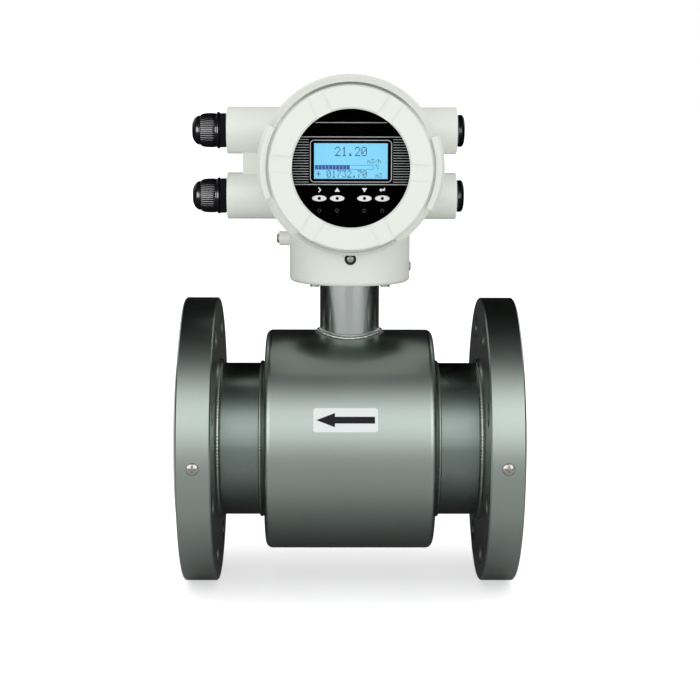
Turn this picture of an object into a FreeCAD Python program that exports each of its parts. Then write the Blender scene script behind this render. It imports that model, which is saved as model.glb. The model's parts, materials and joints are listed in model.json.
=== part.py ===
import FreeCAD, Part
import math
import os
import re
import Sketcher
from FreeCAD import Placement, Rotation, Vector

# Electromagnetic flow meter with a round two-chamber converter head.
#
# Frame: the origin is the centre of the measuring bore, midway between the flange faces.
# +X runs along the bore, against the flow; the display looks along -Y; +Z points up the neck.

SIZES = (
    # name, value in mm (angles in degrees), what it is
    ("bore_radius", 50.0, "lined measuring bore"),
    ("liner_wall", 3.8, "tube liner wall"),
    ("liner_flare_inset", 3.0, "liner lip inside the edge of the raised face"),
    ("liner_flare_wall", 2.0, "thickness of the turned-over liner"),
    ("pipe_radius", 59.0, "outside of the measuring tube"),
    ("pipe_clearance", 0.2, "liner in tube, and tube in flange and drum"),
    ("flange_radius", 110.0, "outside of each flange"),
    ("flange_inner_face", 101.0, "back of each flange, from the centre"),
    ("flange_thickness", 25.5, "flange without its raised face"),
    ("raised_face_inset", 31.0, "raised sealing face inside the flange rim"),
    ("raised_face_step", 2.0, "height of the raised face"),
    ("flange_edge", 1.0, "chamfer on the flange rim"),
    ("bolt_inset", 20.0, "flange bolts inside the flange rim"),
    ("bolt_hole_radius", 9.0, "flange bolt hole"),
    ("bolt_count", 8, "bolts in each flange"),
    ("weld_leg", 4.0, "fillet weld between tube and flange"),
    ("earth_screw_radius", 2.5, "M5 earth screw on the flange rim"),
    ("earth_head_radius", 4.5, "head of the rim earth screw"),
    ("earth_head_height", 3.0, "head of the rim earth screw"),
    ("earth_screw_depth", 12.0, "threaded depth in the rim"),
    ("drum_radius", 85.0, "outside of the coil housing"),
    ("drum_half_length", 64.0, "coil housing, centre to end"),
    ("drum_wall", 3.0, "rolled shell of the coil housing"),
    ("drum_end_wall", 4.0, "end plates of the coil housing"),
    ("drum_corner", 5.0, "rounded edge of the coil housing"),
    ("drum_weld_leg", 3.0, "weld of the end plates on the tube"),
    ("coil_clearance", 0.5, "windings and shoes off the tube"),
    ("coil_depth", 12.0, "radial build of a saddle coil"),
    ("coil_half_length", 44.0, "saddle coil along the bore"),
    ("coil_window_half_length", 26.0, "window of the coil along the bore"),
    ("coil_angle", 110.0, "angle round the tube"),
    ("coil_window_angle", 62.0, "angle of the window"),
    ("shoe_depth", 3.0, "pole shoe"),
    ("shoe_half_length", 22.0, "pole shoe along the bore"),
    ("shoe_angle", 52.0, "angle of the pole shoe"),
    ("pole_radius", 10.0, "pole core"),
    ("yoke_inner_radius", 74.0, "flux return ring"),
    ("yoke_wall", 2.5, "flux return ring"),
    ("yoke_half_length", 28.0, "flux return ring along the bore"),
    ("electrode_radius", 2.5, "electrode shank"),
    ("electrode_head_radius", 5.0, "electrode head in the liner"),
    ("electrode_head_height", 1.5, "electrode head"),
    ("electrode_recess", 0.2, "head behind the bore wall"),
    ("electrode_reach", 68.0, "end of the shank, from the bore axis"),
    ("bush_radius", 4.8, "insulating bush in the tube wall"),
    ("bush_collar_radius", 7.5, "collar of the insulating bush"),
    ("bush_collar_height", 2.0, "collar of the insulating bush"),
    ("electrode_nut_width", 8.0, "across the flats"),
    ("electrode_nut_height", 3.5, "electrode nut"),
    ("stem_radius", 22.8, "outside of the neck"),
    ("stem_wall", 3.5, "neck tube"),
    ("neck_plate_inset", 4.0, "plate on top of the neck, inside the foot's outline"),
    ("neck_plate_thickness", 8.0, "plate on top of the neck"),
    ("neck_bore_radius", 12.0, "hole in the neck plate"),
    ("neck_gasket_thickness", 1.0, "gasket over the neck plate"),
    ("neck_screw_inset", 8.5, "neck screws inside the foot's outline"),
    ("neck_screw_radius", 2.5, "M5 neck screw"),
    ("neck_head_radius", 3.6, "head of a neck screw"),
    ("neck_head_height", 2.4, "head of a neck screw"),
    ("neck_screw_reach", 8.0, "thread of a neck screw in the housing"),
    ("lead_radius", 3.0, "sensor lead in the neck"),
    ("lead_bend_rise", 20.0, "height over which the lead moves back"),
    ("grommet_height", 5.0, "rubber grommet round the lead"),
    ("small_clearance", 0.2, "screws, spacers and bushes in their holes"),
    ("head_height", 213.5, "axis of the round head above the bore"),
    ("base_radius", 46.0, "foot of the converter housing"),
    ("base_drop", 89.2, "lower edge of the foot below the head's axis"),
    ("base_lip", 0.5, "neck plate above the lower edge"),
    ("base_edge", 3.0, "rounding of the foot"),
    ("base_cavity_inset", 13.0, "hollow of the foot inside its outline"),
    ("base_cavity_height", 10.0, "hollow of the foot"),
    ("barrel_radius", 65.0, "middle of the round head"),
    ("barrel_collar_radius", 67.5, "collar at each mouth"),
    ("barrel_collar_width", 6.0, "collar at each mouth"),
    ("barrel_half_depth", 40.0, "centre of the head to each mouth"),
    ("chamber_radius", 60.5, "inside of the head"),
    ("mouth_radius", 58.0, "threaded mouth"),
    ("mouth_depth", 16.0, "threaded mouth"),
    ("partition_front", -7.0, "wall between the chambers, front face"),
    ("partition_wall", 4.0, "wall between the chambers"),
    ("port_pitch", 49.8, "upper to lower cable port"),
    ("port_offset", 8.0, "cable ports behind the middle"),
    ("port_radius", 17.8, "outside of a cable port"),
    ("port_bore_radius", 10.0, "threaded bore of a cable port"),
    ("left_port_end", 93.8, "end of the left ports"),
    ("right_port_end", 81.5, "end of the right ports"),
    ("left_web_end", 82.0, "web between the left ports"),
    ("right_web_end", 70.0, "web between the right ports"),
    ("web_thickness", 12.0, "webs between the ports"),
    ("port_edge", 1.0, "rounding of a port's rim"),
    ("lock_boss_radius", 5.0, "boss of the cover lock screw"),
    ("lock_boss_drop", 68.4, "centre of that boss below the head's axis"),
    ("lock_boss_proud", 1.5, "boss in front of the foot"),
    ("lock_seat_radius", 4.4, "counterbore round the lock screw"),
    ("lock_seat_depth", 1.6, "counterbore round the lock screw"),
    ("small_screw_radius", 2.0, "M4 screws of the housing"),
    ("small_head_radius", 3.6, "heads of those screws"),
    ("small_head_height", 2.0, "heads of those screws"),
    ("cross_width", 0.8, "cross recess of those screws"),
    ("small_screw_depth", 7.0, "threaded depth of those screws"),
    ("side_screw_depth", 3.2, "threaded depth of the side screw"),
    ("side_screw_drop", 78.2, "screw on the right of the foot, below the head's axis"),
    ("side_head_height", 1.0, "head of that screw"),
    ("earth_boss_radius", 5.5, "boss of the housing's earth terminal"),
    ("earth_boss_drop", 57.0, "centre of that boss below the head's axis"),
    ("earth_boss_proud", 8.0, "that boss beyond the foot's outline"),
    ("cover_gap", 0.3, "cover rim off the housing"),
    ("thread_clearance", 0.3, "cover spigot in the mouth, on the radius"),
    ("thread_length", 14.0, "cover spigot in the mouth"),
    ("cover_depth", 38.0, "face of the front cover from the mouth"),
    ("cover_face_radius", 59.0, "front edge of the covers"),
    ("cover_rim_radius", 62.5, "back edge of the covers"),
    ("cover_face_edge", 1.5, "rounded front edge of the covers"),
    ("cover_inner_radius", 53.5, "inside of the covers"),
    ("cover_rest_angle", 3.5, "where the thread stops the covers, clockwise"),
    ("window_radius", 42.6, "opening of the front cover"),
    ("window_lip", 2.5, "rim in front of the glass"),
    ("window_chamfer", 1.2, "bevel of the opening"),
    ("glass_seat_radius", 48.0, "seat of the glass"),
    ("glass_thickness", 6.0, "window glass"),
    ("glass_gasket_thickness", 0.5, "gasket under the glass"),
    ("glass_clearance", 0.3, "glass in its seat, on the radius"),
    ("retainer_inner_radius", 44.5, "ring that holds the glass"),
    ("retainer_thickness", 2.5, "ring that holds the glass"),
    ("slot_width", 12.5, "wrench slots of the covers"),
    ("slot_depth", 1.4, "wrench slots of the covers"),
    ("slot_count", 6, "wrench slots of a cover"),
    ("side_lug_radius", 68.4, "grip lugs at the sides"),
    ("side_lug_angle", 48.0, "angle of a side lug"),
    ("top_lug_radius", 64.2, "grip lugs at top and bottom"),
    ("top_lug_angle", 72.0, "angle of the top and bottom lugs"),
    ("lug_front", 27.5, "front of the lugs, from the mouth"),
    ("lug_back", 8.5, "back of the lugs, from the mouth"),
    ("lug_slope", 5.0, "sloped front of the lugs"),
    ("cover_ring_radius", 63.0, "ring that joins the lugs"),
    ("cover_ring_setback", 2.5, "ring behind the front of the lugs"),
    ("face_groove_inner", 59.8, "groove between the cover's face and its lugs"),
    ("face_groove_outer", 61.8, "groove between the cover's face and its lugs"),
    ("face_groove_floor", 4.5, "floor of that groove in front of the back of the lugs"),
    ("rear_lug_setback", 8.0, "lugs of the back cover, shorter by this"),
    ("rear_cover_depth", 27.0, "back cover from the mouth"),
    ("rear_cover_wall", 5.0, "face of the back cover"),
    ("seal_circle_radius", 60.2, "O-ring under a cover"),
    ("seal_section_radius", 1.2, "O-ring under a cover"),
    ("seal_groove_clearance", 0.15, "O-ring in its groove"),
    ("seal_proud", 0.25, "O-ring in front of the cover rim"),
    ("panel_radius", 50.0, "round display panel"),
    ("panel_thickness", 2.0, "round display panel"),
    ("panel_setback", 0.7, "panel behind the glass ring"),
    ("display_rise", 4.8, "display above the head's axis"),
    ("display_width", 53.6, "visible display"),
    ("display_height", 26.0, "visible display"),
    ("bezel_width", 59.4, "raised frame round the display"),
    ("bezel_height", 30.6, "raised frame round the display"),
    ("bezel_proud", 0.4, "raised frame round the display"),
    ("bezel_line", 0.8, "width of the raised frame"),
    ("lcd_margin", 3.0, "module beyond the visible display"),
    ("lcd_depth", 4.0, "display module behind the panel"),
    ("key_drop", 22.1, "keys below the head's axis"),
    ("inner_key_offset", 9.9, "inner keys from the middle"),
    ("outer_key_offset", 22.9, "outer keys from the middle"),
    ("key_width", 10.4, "oval key"),
    ("key_height", 4.3, "oval key"),
    ("key_proud", 0.6, "key in front of the panel"),
    ("key_travel", 0.5, "travel of a key"),
    ("key_clearance", 0.2, "key in its hole"),
    ("key_collar", 0.8, "collar of a key behind the panel"),
    ("key_stem_radius", 1.5, "stem of a key"),
    ("board_radius", 46.0, "display board"),
    ("board_thickness", 1.6, "circuit boards"),
    ("board_hole_radius", 1.2, "screw holes of the boards"),
    ("board_setback", 6.0, "display board behind the panel"),
    ("main_board_radius", 49.0, "main board"),
    ("main_board_setback", 14.0, "main board in front of the partition"),
    ("spacer_radius", 2.6, "spacers of the boards"),
    ("spacer_offset_wide", 34.0, "spacers from the middle, sideways"),
    ("spacer_offset_high", 27.0, "spacers from the middle, upwards"),
    ("terminal_width", 60.0, "terminal block"),
    ("terminal_height", 18.0, "terminal block"),
    ("terminal_depth", 14.0, "terminal block"),
    ("terminal_drop", 8.0, "underside below the head's axis"),
    ("terminal_pitch", 7.5, "terminals"),
    ("terminal_count", 7, "terminals"),
    ("terminal_entry", 4.0, "square wire entry"),
    ("terminal_entry_depth", 5.0, "square wire entry"),
    ("terminal_well_radius", 2.6, "well of a clamping screw"),
    ("terminal_well_depth", 3.0, "well of a clamping screw"),
    ("terminal_screw_radius", 2.3, "head of a clamping screw"),
    ("terminal_screw_height", 1.6, "head of a clamping screw"),
    ("gland_hex_width", 25.6, "hexagon of a gland body"),
    ("gland_hex_length", 5.2, "hexagon of a gland body"),
    ("gland_hex_foot", 1.0, "round foot of that hexagon"),
    ("gland_thread_radius", 8.6, "upper thread of a gland body"),
    ("gland_thread_length", 10.0, "upper thread of a gland body"),
    ("gland_bore_radius", 6.0, "way through a gland"),
    ("gland_entry_length", 10.0, "thread of a gland in its port"),
    ("entry_clearance", 0.1, "gland and plug threads in their ports"),
    ("nut_radius", 13.2, "ribbed nut of a gland"),
    ("nut_collar_radius", 13.7, "ring at the foot of the nut"),
    ("nut_collar_width", 1.4, "ring at the foot of the nut"),
    ("nut_neck_radius", 12.5, "neck between that ring and the ribs"),
    ("nut_ribbed_length", 12.6, "ribbed stretch of the nut"),
    ("nut_taper", 0.6, "ribbed stretch narrower at the dome, on the radius"),
    ("nut_hollow_end", 18.6, "hollow of the nut, from the port"),
    ("nut_dome_length", 6.6, "rounded end of the nut"),
    ("nut_dome_radius", 7.6, "end face of the nut"),
    ("nut_mouth_radius", 6.6, "hole in the dome"),
    ("nut_rib_count", 32, "ribs of the nut"),
    ("nut_rib_radius", 0.5, "groove between two ribs"),
    ("gland_seal_hole", 4.0, "cable hole of the rubber seal"),
    ("plug_head_radius", 12.2, "head of a blanking plug"),
    ("plug_rim_width", 2.2, "straight rim of a plug's head"),
    ("plug_dome_height", 2.6, "domed end of a plug"),
    ("plug_flat_radius", 6.5, "where the dome runs flat"),
    ("plug_socket_width", 8.0, "hexagon socket of a plug, across the flats"),
    ("plug_socket_depth", 3.0, "hexagon socket of a plug"),
    ("plug_washer_thickness", 1.2, "washer under the plug"),
    ("plug_thread_length", 9.0, "thread of a plug in its port"),
    ("label_width", 47.5, "flow direction label"),
    ("label_height", 18.0, "flow direction label, round the drum"),
    ("label_thickness", 0.4, "flow direction label"),
    ("label_offset", -3.4, "label from the middle"),
    ("label_angle", 20.6, "label above the bore axis"),
    ("label_corner", 2.0, "corners of the label"),
    ("arrow_length", 43.0, "arrow on the label"),
    ("arrow_head_length", 13.6, "head of the arrow"),
    ("arrow_head_width", 10.6, "head of the arrow"),
    ("arrow_shaft_width", 5.0, "shaft of the arrow"),
    ("arrow_proud", 0.1, "print in front of the label"),
    ("arrow_blank", 6.0, "block from which the arrow is cut"),
)

ALIAS = re.compile(r"\b(?!pi\b)[a-z][a-z_0-9]*(?![a-z_0-9(])")
FULL_TURN = 360.0
SAME_PLACE = 0.01
SAME_WAY = 1e-6
AXES = {"X": "X_Axis", "Y": "Y_Axis", "Z": "Z_Axis"}
TO_FRONT = Rotation(Vector(0, 0, 1), -90)
TO_BACK = Rotation(Vector(0, 0, 1), 90)
TO_LEFT = Rotation(Vector(0, 0, 1), 180)
TO_RIGHT = Rotation()

doc = FreeCAD.newDocument("flow_meter")
sheet = doc.addObject("Spreadsheet::Sheet", "Sizes")
for row, (name, value, note) in enumerate(SIZES, start=1):
    sheet.set(f"A{row}", name)
    sheet.set(f"B{row}", str(value))
    sheet.setAlias(f"B{row}", name)
    sheet.set(f"C{row}", note)
doc.recompute()

sub_parts = []


# ---- how the pieces are drawn -------------------------------------------------------------


def number(text):
    """The value of an expression written with the sheet's own names."""
    return float(sheet.evalExpression(text))


def bind(target, name, text):
    """Ties a property or a constraint to an expression over the sheet."""
    target.setExpression(name, ALIAS.sub(lambda word: "Sizes." + word.group(0), text))


def new_body(label, place=("0", "0", "0"), turn=None):
    """A body whose own origin stands at a place given by three expressions."""
    body = doc.addObject("PartDesign::Body", label)
    body.Label = label
    body.Placement = Placement(Vector(*(number(text) for text in place)), turn or Rotation())
    for axis, text in zip("xyz", place):
        bind(body, f"Placement.Base.{axis}", text)
    sub_parts.append(body)
    return body


def origin_feature(body, role):
    return next(item for item in body.Origin.OriginFeatures if item.Role == role)


def new_sketch(body, name, plane, offset="0"):
    sketch = body.newObject("Sketcher::SketchObject", name)
    sketch.AttachmentSupport = [(origin_feature(body, plane + "_Plane"), "")]
    sketch.MapMode = "FlatFace"
    if offset != "0":
        bind(sketch, "AttachmentOffset.Base.z", offset)
    return sketch


def hold_point(sketch, geometry, end, place, kinds=("DistanceX", "DistanceY")):
    """Holds a point of the sketch at expressions measured from its origin."""
    for kind in kinds:
        text = place[0] if kind == "DistanceX" else place[1]
        index = sketch.addConstraint(
            Sketcher.Constraint(kind, -1, 1, geometry, end, number(text)))
        bind(sketch, f"Constraints[{index}]", text)


def outlines(body, name, plane, loops, offset="0"):
    """Closed outlines with straight edges between their corners, in one sketch."""
    sketch = new_sketch(body, name, plane, offset)
    for corners in loops:
        places = [Vector(number(across), number(up), 0) for across, up in corners]
        count = len(places)
        lines = [sketch.addGeometry(Part.LineSegment(places[k], places[(k + 1) % count]))
                 for k in range(count)]
        for k in range(count):
            joint = Sketcher.Constraint("Coincident", lines[k], 2, lines[(k + 1) % count], 1)
            sketch.addConstraint(joint)
            hold_point(sketch, lines[k], 1, corners[k])
    return sketch


def outline(body, name, plane, corners, offset="0"):
    return outlines(body, name, plane, [corners], offset)


def rectangle(body, name, plane, low, high, offset="0"):
    corners = (low, (high[0], low[1]), high, (low[0], high[1]))
    return outline(body, name, plane, corners, offset)


def circles(body, name, plane, centres, radius, offset="0"):
    sketch = new_sketch(body, name, plane, offset)
    for centre in centres:
        middle = Vector(number(centre[0]), number(centre[1]), 0)
        k = sketch.addGeometry(Part.Circle(middle, Vector(0, 0, 1), number(radius)))
        hold_point(sketch, k, 3, centre)
        index = sketch.addConstraint(Sketcher.Constraint("Radius", k, number(radius)))
        bind(sketch, f"Constraints[{index}]", radius)
    return sketch


def ellipses(body, name, plane, centre, half_width, half_height, offset="0"):
    """An oval, held by its centre and the ends of its two axes."""
    sketch = new_sketch(body, name, plane, offset)
    middle = Vector(number(centre[0]), number(centre[1]), 0)
    oval = Part.Ellipse(middle, number(half_width), number(half_height))
    k = sketch.addGeometry(oval)
    sketch.exposeInternalGeometry(k)
    hold_point(sketch, k, 3, centre)
    long_end = (f"{centre[0]} + {half_width}", centre[1])
    short_end = (centre[0], f"{centre[1]} + {half_height}")
    for line, place, kinds in ((k + 1, long_end, ("DistanceX", "DistanceY")),
                               (k + 2, short_end, ("DistanceY",))):
        goal = Vector(number(place[0]), number(place[1]), 0)
        nearest = min((1, 2), key=lambda end: sketch.getPoint(line, end).distanceToPoint(goal))
        hold_point(sketch, line, nearest, place, kinds)
    return sketch


def hexagon(body, name, plane, centre, width, offset="0"):
    """A hexagon with two flats square to the sketch's second axis."""
    corners = [
        (f"{centre[0]} + {width} / sqrt(3) * cos({60 * k})",
         f"{centre[1]} + {width} / sqrt(3) * sin({60 * k})")
        for k in range(6)
    ]
    return outline(body, name, plane, corners, offset)


def feature(body, kind, name, sketch, **settings):
    """A feature on a sketch; text settings are expressions, the others plain values."""
    made = body.newObject("PartDesign::" + kind, name)
    made.Profile = sketch
    for key, setting in settings.items():
        if isinstance(setting, str) and key in ("Length", "Angle"):
            bind(made, key, setting)
        else:
            setattr(made, key, setting)
    sketch.Visibility = False
    body.Tip = made
    return made


def turned(body, name, sketch, axis="H_Axis", angle=None, cut=False):
    """Turns a sketch round one of its axes, all the way or over a middle angle."""
    made = feature(body, "Groove" if cut else "Revolution", name, sketch,
                   ReferenceAxis=(sketch, [axis]))
    if angle is None:
        made.Angle = FULL_TURN
    else:
        made.Midplane = True
        bind(made, "Angle", angle)
    return made


def pad(body, name, sketch, length, back=False):
    return feature(body, "Pad", name, sketch, Length=length, Reversed=back)


def pocket(body, name, sketch, length, back=False):
    return feature(body, "Pocket", name, sketch, Length=length, Reversed=back)


def round_array(body, name, originals, axis, count):
    pattern = body.newObject("PartDesign::PolarPattern", name)
    pattern.Originals = originals
    pattern.Axis = (origin_feature(body, AXES[axis]), [""])
    pattern.Angle = FULL_TURN
    bind(pattern, "Occurrences", count)
    body.Tip = pattern
    return pattern


def rounded(body, name, base, radius, chosen, kind="Fillet"):
    """Rounds or bevels the edges of a feature for which chosen(edge) holds."""
    doc.recompute()
    edges = [f"Edge{k}" for k, edge in enumerate(base.Shape.Edges, start=1) if chosen(edge)]
    if not edges:
        raise RuntimeError(f"{body.Label}: no edge for {name}")
    made = body.newObject("PartDesign::" + kind, name)
    made.Base = (base, edges)
    bind(made, "Radius" if kind == "Fillet" else "Size", radius)
    body.Tip = made
    return made


def is_circle(edge, axis, place, radius):
    """True for a round edge at a place along an axis, with a given radius."""
    curve = edge.Curve
    if not isinstance(curve, Part.Circle):
        return False
    index = "XYZ".index(axis)
    if abs(curve.Axis[index]) < 1 - SAME_WAY:
        return False
    return abs(curve.Center[index] - place) < SAME_PLACE and abs(curve.Radius - radius) < SAME_PLACE


def turned_piece(label, corners, place=("0", "0", "0"), turn=None):
    """A body turned about its own X axis from corners given as (along, radius)."""
    body = new_body(label, place, turn)
    turned(body, "Turned", outline(body, "Profile", "XZ", corners))
    return body


# ---- measuring tube, flanges and liner ----------------------------------------------------


FLANGE_FACE = "(flange_inner_face + flange_thickness)"
SEALING_FACE = "(flange_inner_face + flange_thickness + raised_face_step)"
PIPE_SEAT = "(pipe_radius + pipe_clearance)"
LINER_OUTSIDE = "(bore_radius + liner_wall)"
RAISED_FACE = "(flange_radius - raised_face_inset)"
LINER_LIP = "(flange_radius - raised_face_inset - liner_flare_inset)"
BOLT_RING = "(flange_radius - bolt_inset)"
FLANGE_MIDDLE = "(flange_inner_face + flange_thickness / 2)"


def measuring_tube():
    tube_inside = f"{LINER_OUTSIDE} + pipe_clearance"
    body = turned_piece("measuring_tube", (
        (f"-{SEALING_FACE}", tube_inside), (f"-{SEALING_FACE}", "pipe_radius"),
        (SEALING_FACE, "pipe_radius"), (SEALING_FACE, tube_inside)))
    holes = circles(body, "ElectrodeHoles", "XZ", [("0", "0")], "bush_radius + small_clearance",
                    "-pipe_radius - 1")
    pocket(body, "ElectrodeWays", holes, "2 * pipe_radius + 2", back=True)


def flange(label, side):
    """Slip-on flange; side is the sign of the end of the tube that it stands on."""
    body = new_body(label)
    profile = (
        (f"{side}(flange_inner_face - weld_leg)", PIPE_SEAT),
        (f"{side}flange_inner_face", f"{PIPE_SEAT} + weld_leg"),
        (f"{side}flange_inner_face", "flange_radius"),
        (f"{side}{FLANGE_FACE}", "flange_radius"),
        (f"{side}{FLANGE_FACE}", RAISED_FACE),
        (f"{side}{SEALING_FACE}", RAISED_FACE),
        (f"{side}{SEALING_FACE}", PIPE_SEAT),
    )
    ring = turned(body, "Ring", outline(body, "Profile", "XZ", profile))
    faces = [number(f"{side}flange_inner_face"), number(side + FLANGE_FACE)]
    rim = number("flange_radius")
    rounded(body, "RimChamfer", ring, "flange_edge",
            lambda edge: any(is_circle(edge, "X", face, rim) for face in faces), "Chamfer")
    hole_centre = (f"{BOLT_RING} * sin(180 / bolt_count)", f"{BOLT_RING} * cos(180 / bolt_count)")
    bolt_hole = circles(body, "BoltHole", "YZ", [hole_centre], "bolt_hole_radius",
                        f"{side}{FLANGE_FACE} + {side}1")
    first = pocket(body, "FirstHole", bolt_hole, "flange_thickness + 2", back=side == "-")
    round_array(body, "BoltHoles", [first], "X", "bolt_count")
    earth_hole = circles(body, "EarthHole", "XZ", [(f"{side}{FLANGE_MIDDLE}", "0")],
                         "earth_screw_radius + small_clearance", "flange_radius + 1")
    pocket(body, "EarthThread", earth_hole, "earth_screw_depth + 2")


def tube_liner():
    end = f"({SEALING_FACE} + liner_flare_wall)"
    body = turned_piece("tube_liner", (
        (f"-{end}", "bore_radius"), (f"-{end}", LINER_LIP),
        (f"-{SEALING_FACE}", LINER_LIP), (f"-{SEALING_FACE}", LINER_OUTSIDE),
        (SEALING_FACE, LINER_OUTSIDE), (SEALING_FACE, LINER_LIP),
        (end, LINER_LIP), (end, "bore_radius")))
    way = circles(body, "ElectrodeHole", "XZ", [("0", "0")], "electrode_radius + small_clearance",
                  f"-{LINER_OUTSIDE} - 1")
    pocket(body, "ElectrodeWay", way, f"2 * {LINER_OUTSIDE} + 2", back=True)
    seat_depth = "(bore_radius + electrode_recess + electrode_head_height)"
    seat = circles(body, "HeadSeat", "XZ", [("0", "0")],
                   "electrode_head_radius + small_clearance", f"-{seat_depth}")
    pocket(body, "HeadSeats", seat, f"2 * {seat_depth}", back=True)


def earth_screws():
    """The two earth screws on the flange rims, as one group."""
    body = new_body("flange_earth_screws")
    places = [(f"{side}{FLANGE_MIDDLE}", "0") for side in ("-", "")]
    shanks = circles(body, "Shanks", "XZ", places, "earth_screw_radius",
                     "flange_radius - earth_screw_depth")
    pad(body, "Threads", shanks, "earth_screw_depth")
    heads = circles(body, "Heads", "XZ", places, "earth_head_radius", "flange_radius")
    pad(body, "HeadDiscs", heads, "earth_head_height")
    half = "earth_head_radius * 0.45"
    loops = [[(f"{across} + {half} * {a}", f"{up} + {half} * {b}")
              for a, b in ((-1, -1), (1, -1), (1, 1), (-1, 1))] for across, up in places]
    slots = outlines(body, "Recesses", "XZ", loops, "flange_radius + earth_head_height")
    pocket(body, "Sockets", slots, "earth_head_height / 2")
    body.AllowCompound = True


# ---- coil housing and what it holds -------------------------------------------------------


DRUM_INSIDE = "(drum_radius - drum_wall)"
STEM_FOOT = f"(sqrt({DRUM_INSIDE}^2 - stem_radius^2) - 0.5)"
FOOT_BOTTOM = "(head_height - base_drop)"
NECK_PLATE_RADIUS = "(base_radius - neck_plate_inset)"
NECK_SCREW_RING = "(base_radius - neck_screw_inset)"
BASE_CAVITY = "(base_radius - base_cavity_inset)"
PLATE_BOTTOM = f"({FOOT_BOTTOM} + base_lip)"
PLATE_TOP = f"({PLATE_BOTTOM} + neck_plate_thickness)"
FOOT_STACK = "(base_lip + neck_plate_thickness + neck_gasket_thickness)"


def coil_housing():
    body = new_body("coil_housing")
    inner_end = "(drum_half_length - drum_end_wall)"
    corners = [
        ("drum_half_length + drum_weld_leg", PIPE_SEAT),
        ("drum_half_length", f"{PIPE_SEAT} + drum_weld_leg"),
        ("drum_half_length", "drum_radius"),
        ("-drum_half_length", "drum_radius"),
        ("-drum_half_length", f"{PIPE_SEAT} + drum_weld_leg"),
        ("-drum_half_length - drum_weld_leg", PIPE_SEAT),
        (f"-{inner_end}", PIPE_SEAT),
        (f"-{inner_end}", DRUM_INSIDE),
        (inner_end, DRUM_INSIDE),
        (inner_end, PIPE_SEAT),
    ]
    shell = turned(body, "Drum", outline(body, "Profile", "XZ", corners))
    ends = [number("-drum_half_length"), number("drum_half_length")]
    rim = number("drum_radius")
    rounded(body, "RolledEdges", shell, "drum_corner",
            lambda edge: any(is_circle(edge, "X", end, rim) for end in ends))
    hole = circles(body, "NeckHole", "XY", [("0", "0")], "stem_radius + pipe_clearance",
                   "drum_radius + 1")
    pocket(body, "NeckWay", hole, "drum_radius / 2")


def saddle_coil(label, turn):
    """Winding bent round the tube: a ring sector with a window in its middle."""
    body = new_body(label, turn=turn)
    inner = "(pipe_radius + coil_clearance)"
    sector = rectangle(body, "Section", "XZ", ("-coil_half_length", inner),
                       ("coil_half_length", f"{inner} + coil_depth"))
    turned(body, "Winding", sector, angle="coil_angle")
    window = rectangle(body, "Window", "XZ", ("-coil_window_half_length", f"{inner} - 2"),
                       ("coil_window_half_length", f"{inner} + coil_depth + 2"))
    opened = turned(body, "WindowCut", window, angle="coil_window_angle", cut=True)
    doc.recompute()
    half = number("coil_half_length")

    def is_corner(edge):
        if not isinstance(edge.Curve, Part.Line):
            return False
        middle = edge.CenterOfMass
        outward = Vector(0, middle.y, middle.z).normalize()
        along = abs(edge.Curve.Direction.dot(outward)) > 1 - SAME_WAY
        return along and abs(abs(middle.x) - half) < SAME_PLACE

    rounded(body, "BentCorners", opened, "coil_depth / 2", is_corner)


def pole_shoe(label, turn):
    """Curved shoe on the tube with the core that reaches the flux return ring."""
    body = new_body(label, turn=turn)
    inner = "(pipe_radius + coil_clearance)"
    section = rectangle(body, "Section", "XZ", ("-shoe_half_length", inner),
                        ("shoe_half_length", f"{inner} + shoe_depth"))
    turned(body, "Shoe", section, angle="shoe_angle")
    core = circles(body, "Core", "XY", [("0", "0")], "pole_radius",
                   "sqrt(yoke_inner_radius^2 - pole_radius^2) - 0.05")
    pad(body, "Pole", core,
        f"sqrt(yoke_inner_radius^2 - pole_radius^2) - 0.05 - {inner} - shoe_depth / 2", back=True)


def magnetic_yoke():
    turned_piece("magnetic_yoke", (
        ("-yoke_half_length", "yoke_inner_radius"),
        ("-yoke_half_length", "yoke_inner_radius + yoke_wall"),
        ("yoke_half_length", "yoke_inner_radius + yoke_wall"),
        ("yoke_half_length", "yoke_inner_radius")))


def electrode(label, turn):
    head = "(bore_radius + electrode_recess)"
    shoulder = "(bore_radius + electrode_recess + electrode_head_height)"
    turned_piece(label, (
        (head, "0"), (head, "electrode_head_radius"), (shoulder, "electrode_head_radius"),
        (shoulder, "electrode_radius"), ("electrode_reach", "electrode_radius"),
        ("electrode_reach", "0")), turn=turn)


COLLAR_FOOT = "(pipe_radius + 0.05)"
COLLAR_TOP = "(pipe_radius + 0.05 + bush_collar_height)"


def electrode_bushes():
    """Insulating bushes of both electrodes, as one group."""
    body = new_body("electrode_bushes")
    for name, back in (("Front", False), ("Rear", True)):
        sign = "-" if back else ""
        collar = circles(body, f"{name}Collar", "XZ", [("0", "0")], "bush_collar_radius",
                         f"{sign}{COLLAR_FOOT}")
        pad(body, f"{name}CollarDisc", collar, "bush_collar_height", back=back)
        sleeve = circles(body, f"{name}Sleeve", "XZ", [("0", "0")], "bush_radius",
                         f"{sign}{COLLAR_FOOT}")
        pad(body, f"{name}SleeveTube", sleeve,
            f"{COLLAR_FOOT} - {LINER_OUTSIDE} - pipe_clearance", back=not back)
    way = circles(body, "Way", "XZ", [("0", "0")], "electrode_radius + small_clearance",
                  f"-{COLLAR_TOP} - 1")
    pocket(body, "WayThrough", way, f"2 * {COLLAR_TOP} + 2", back=True)
    body.AllowCompound = True


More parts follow.
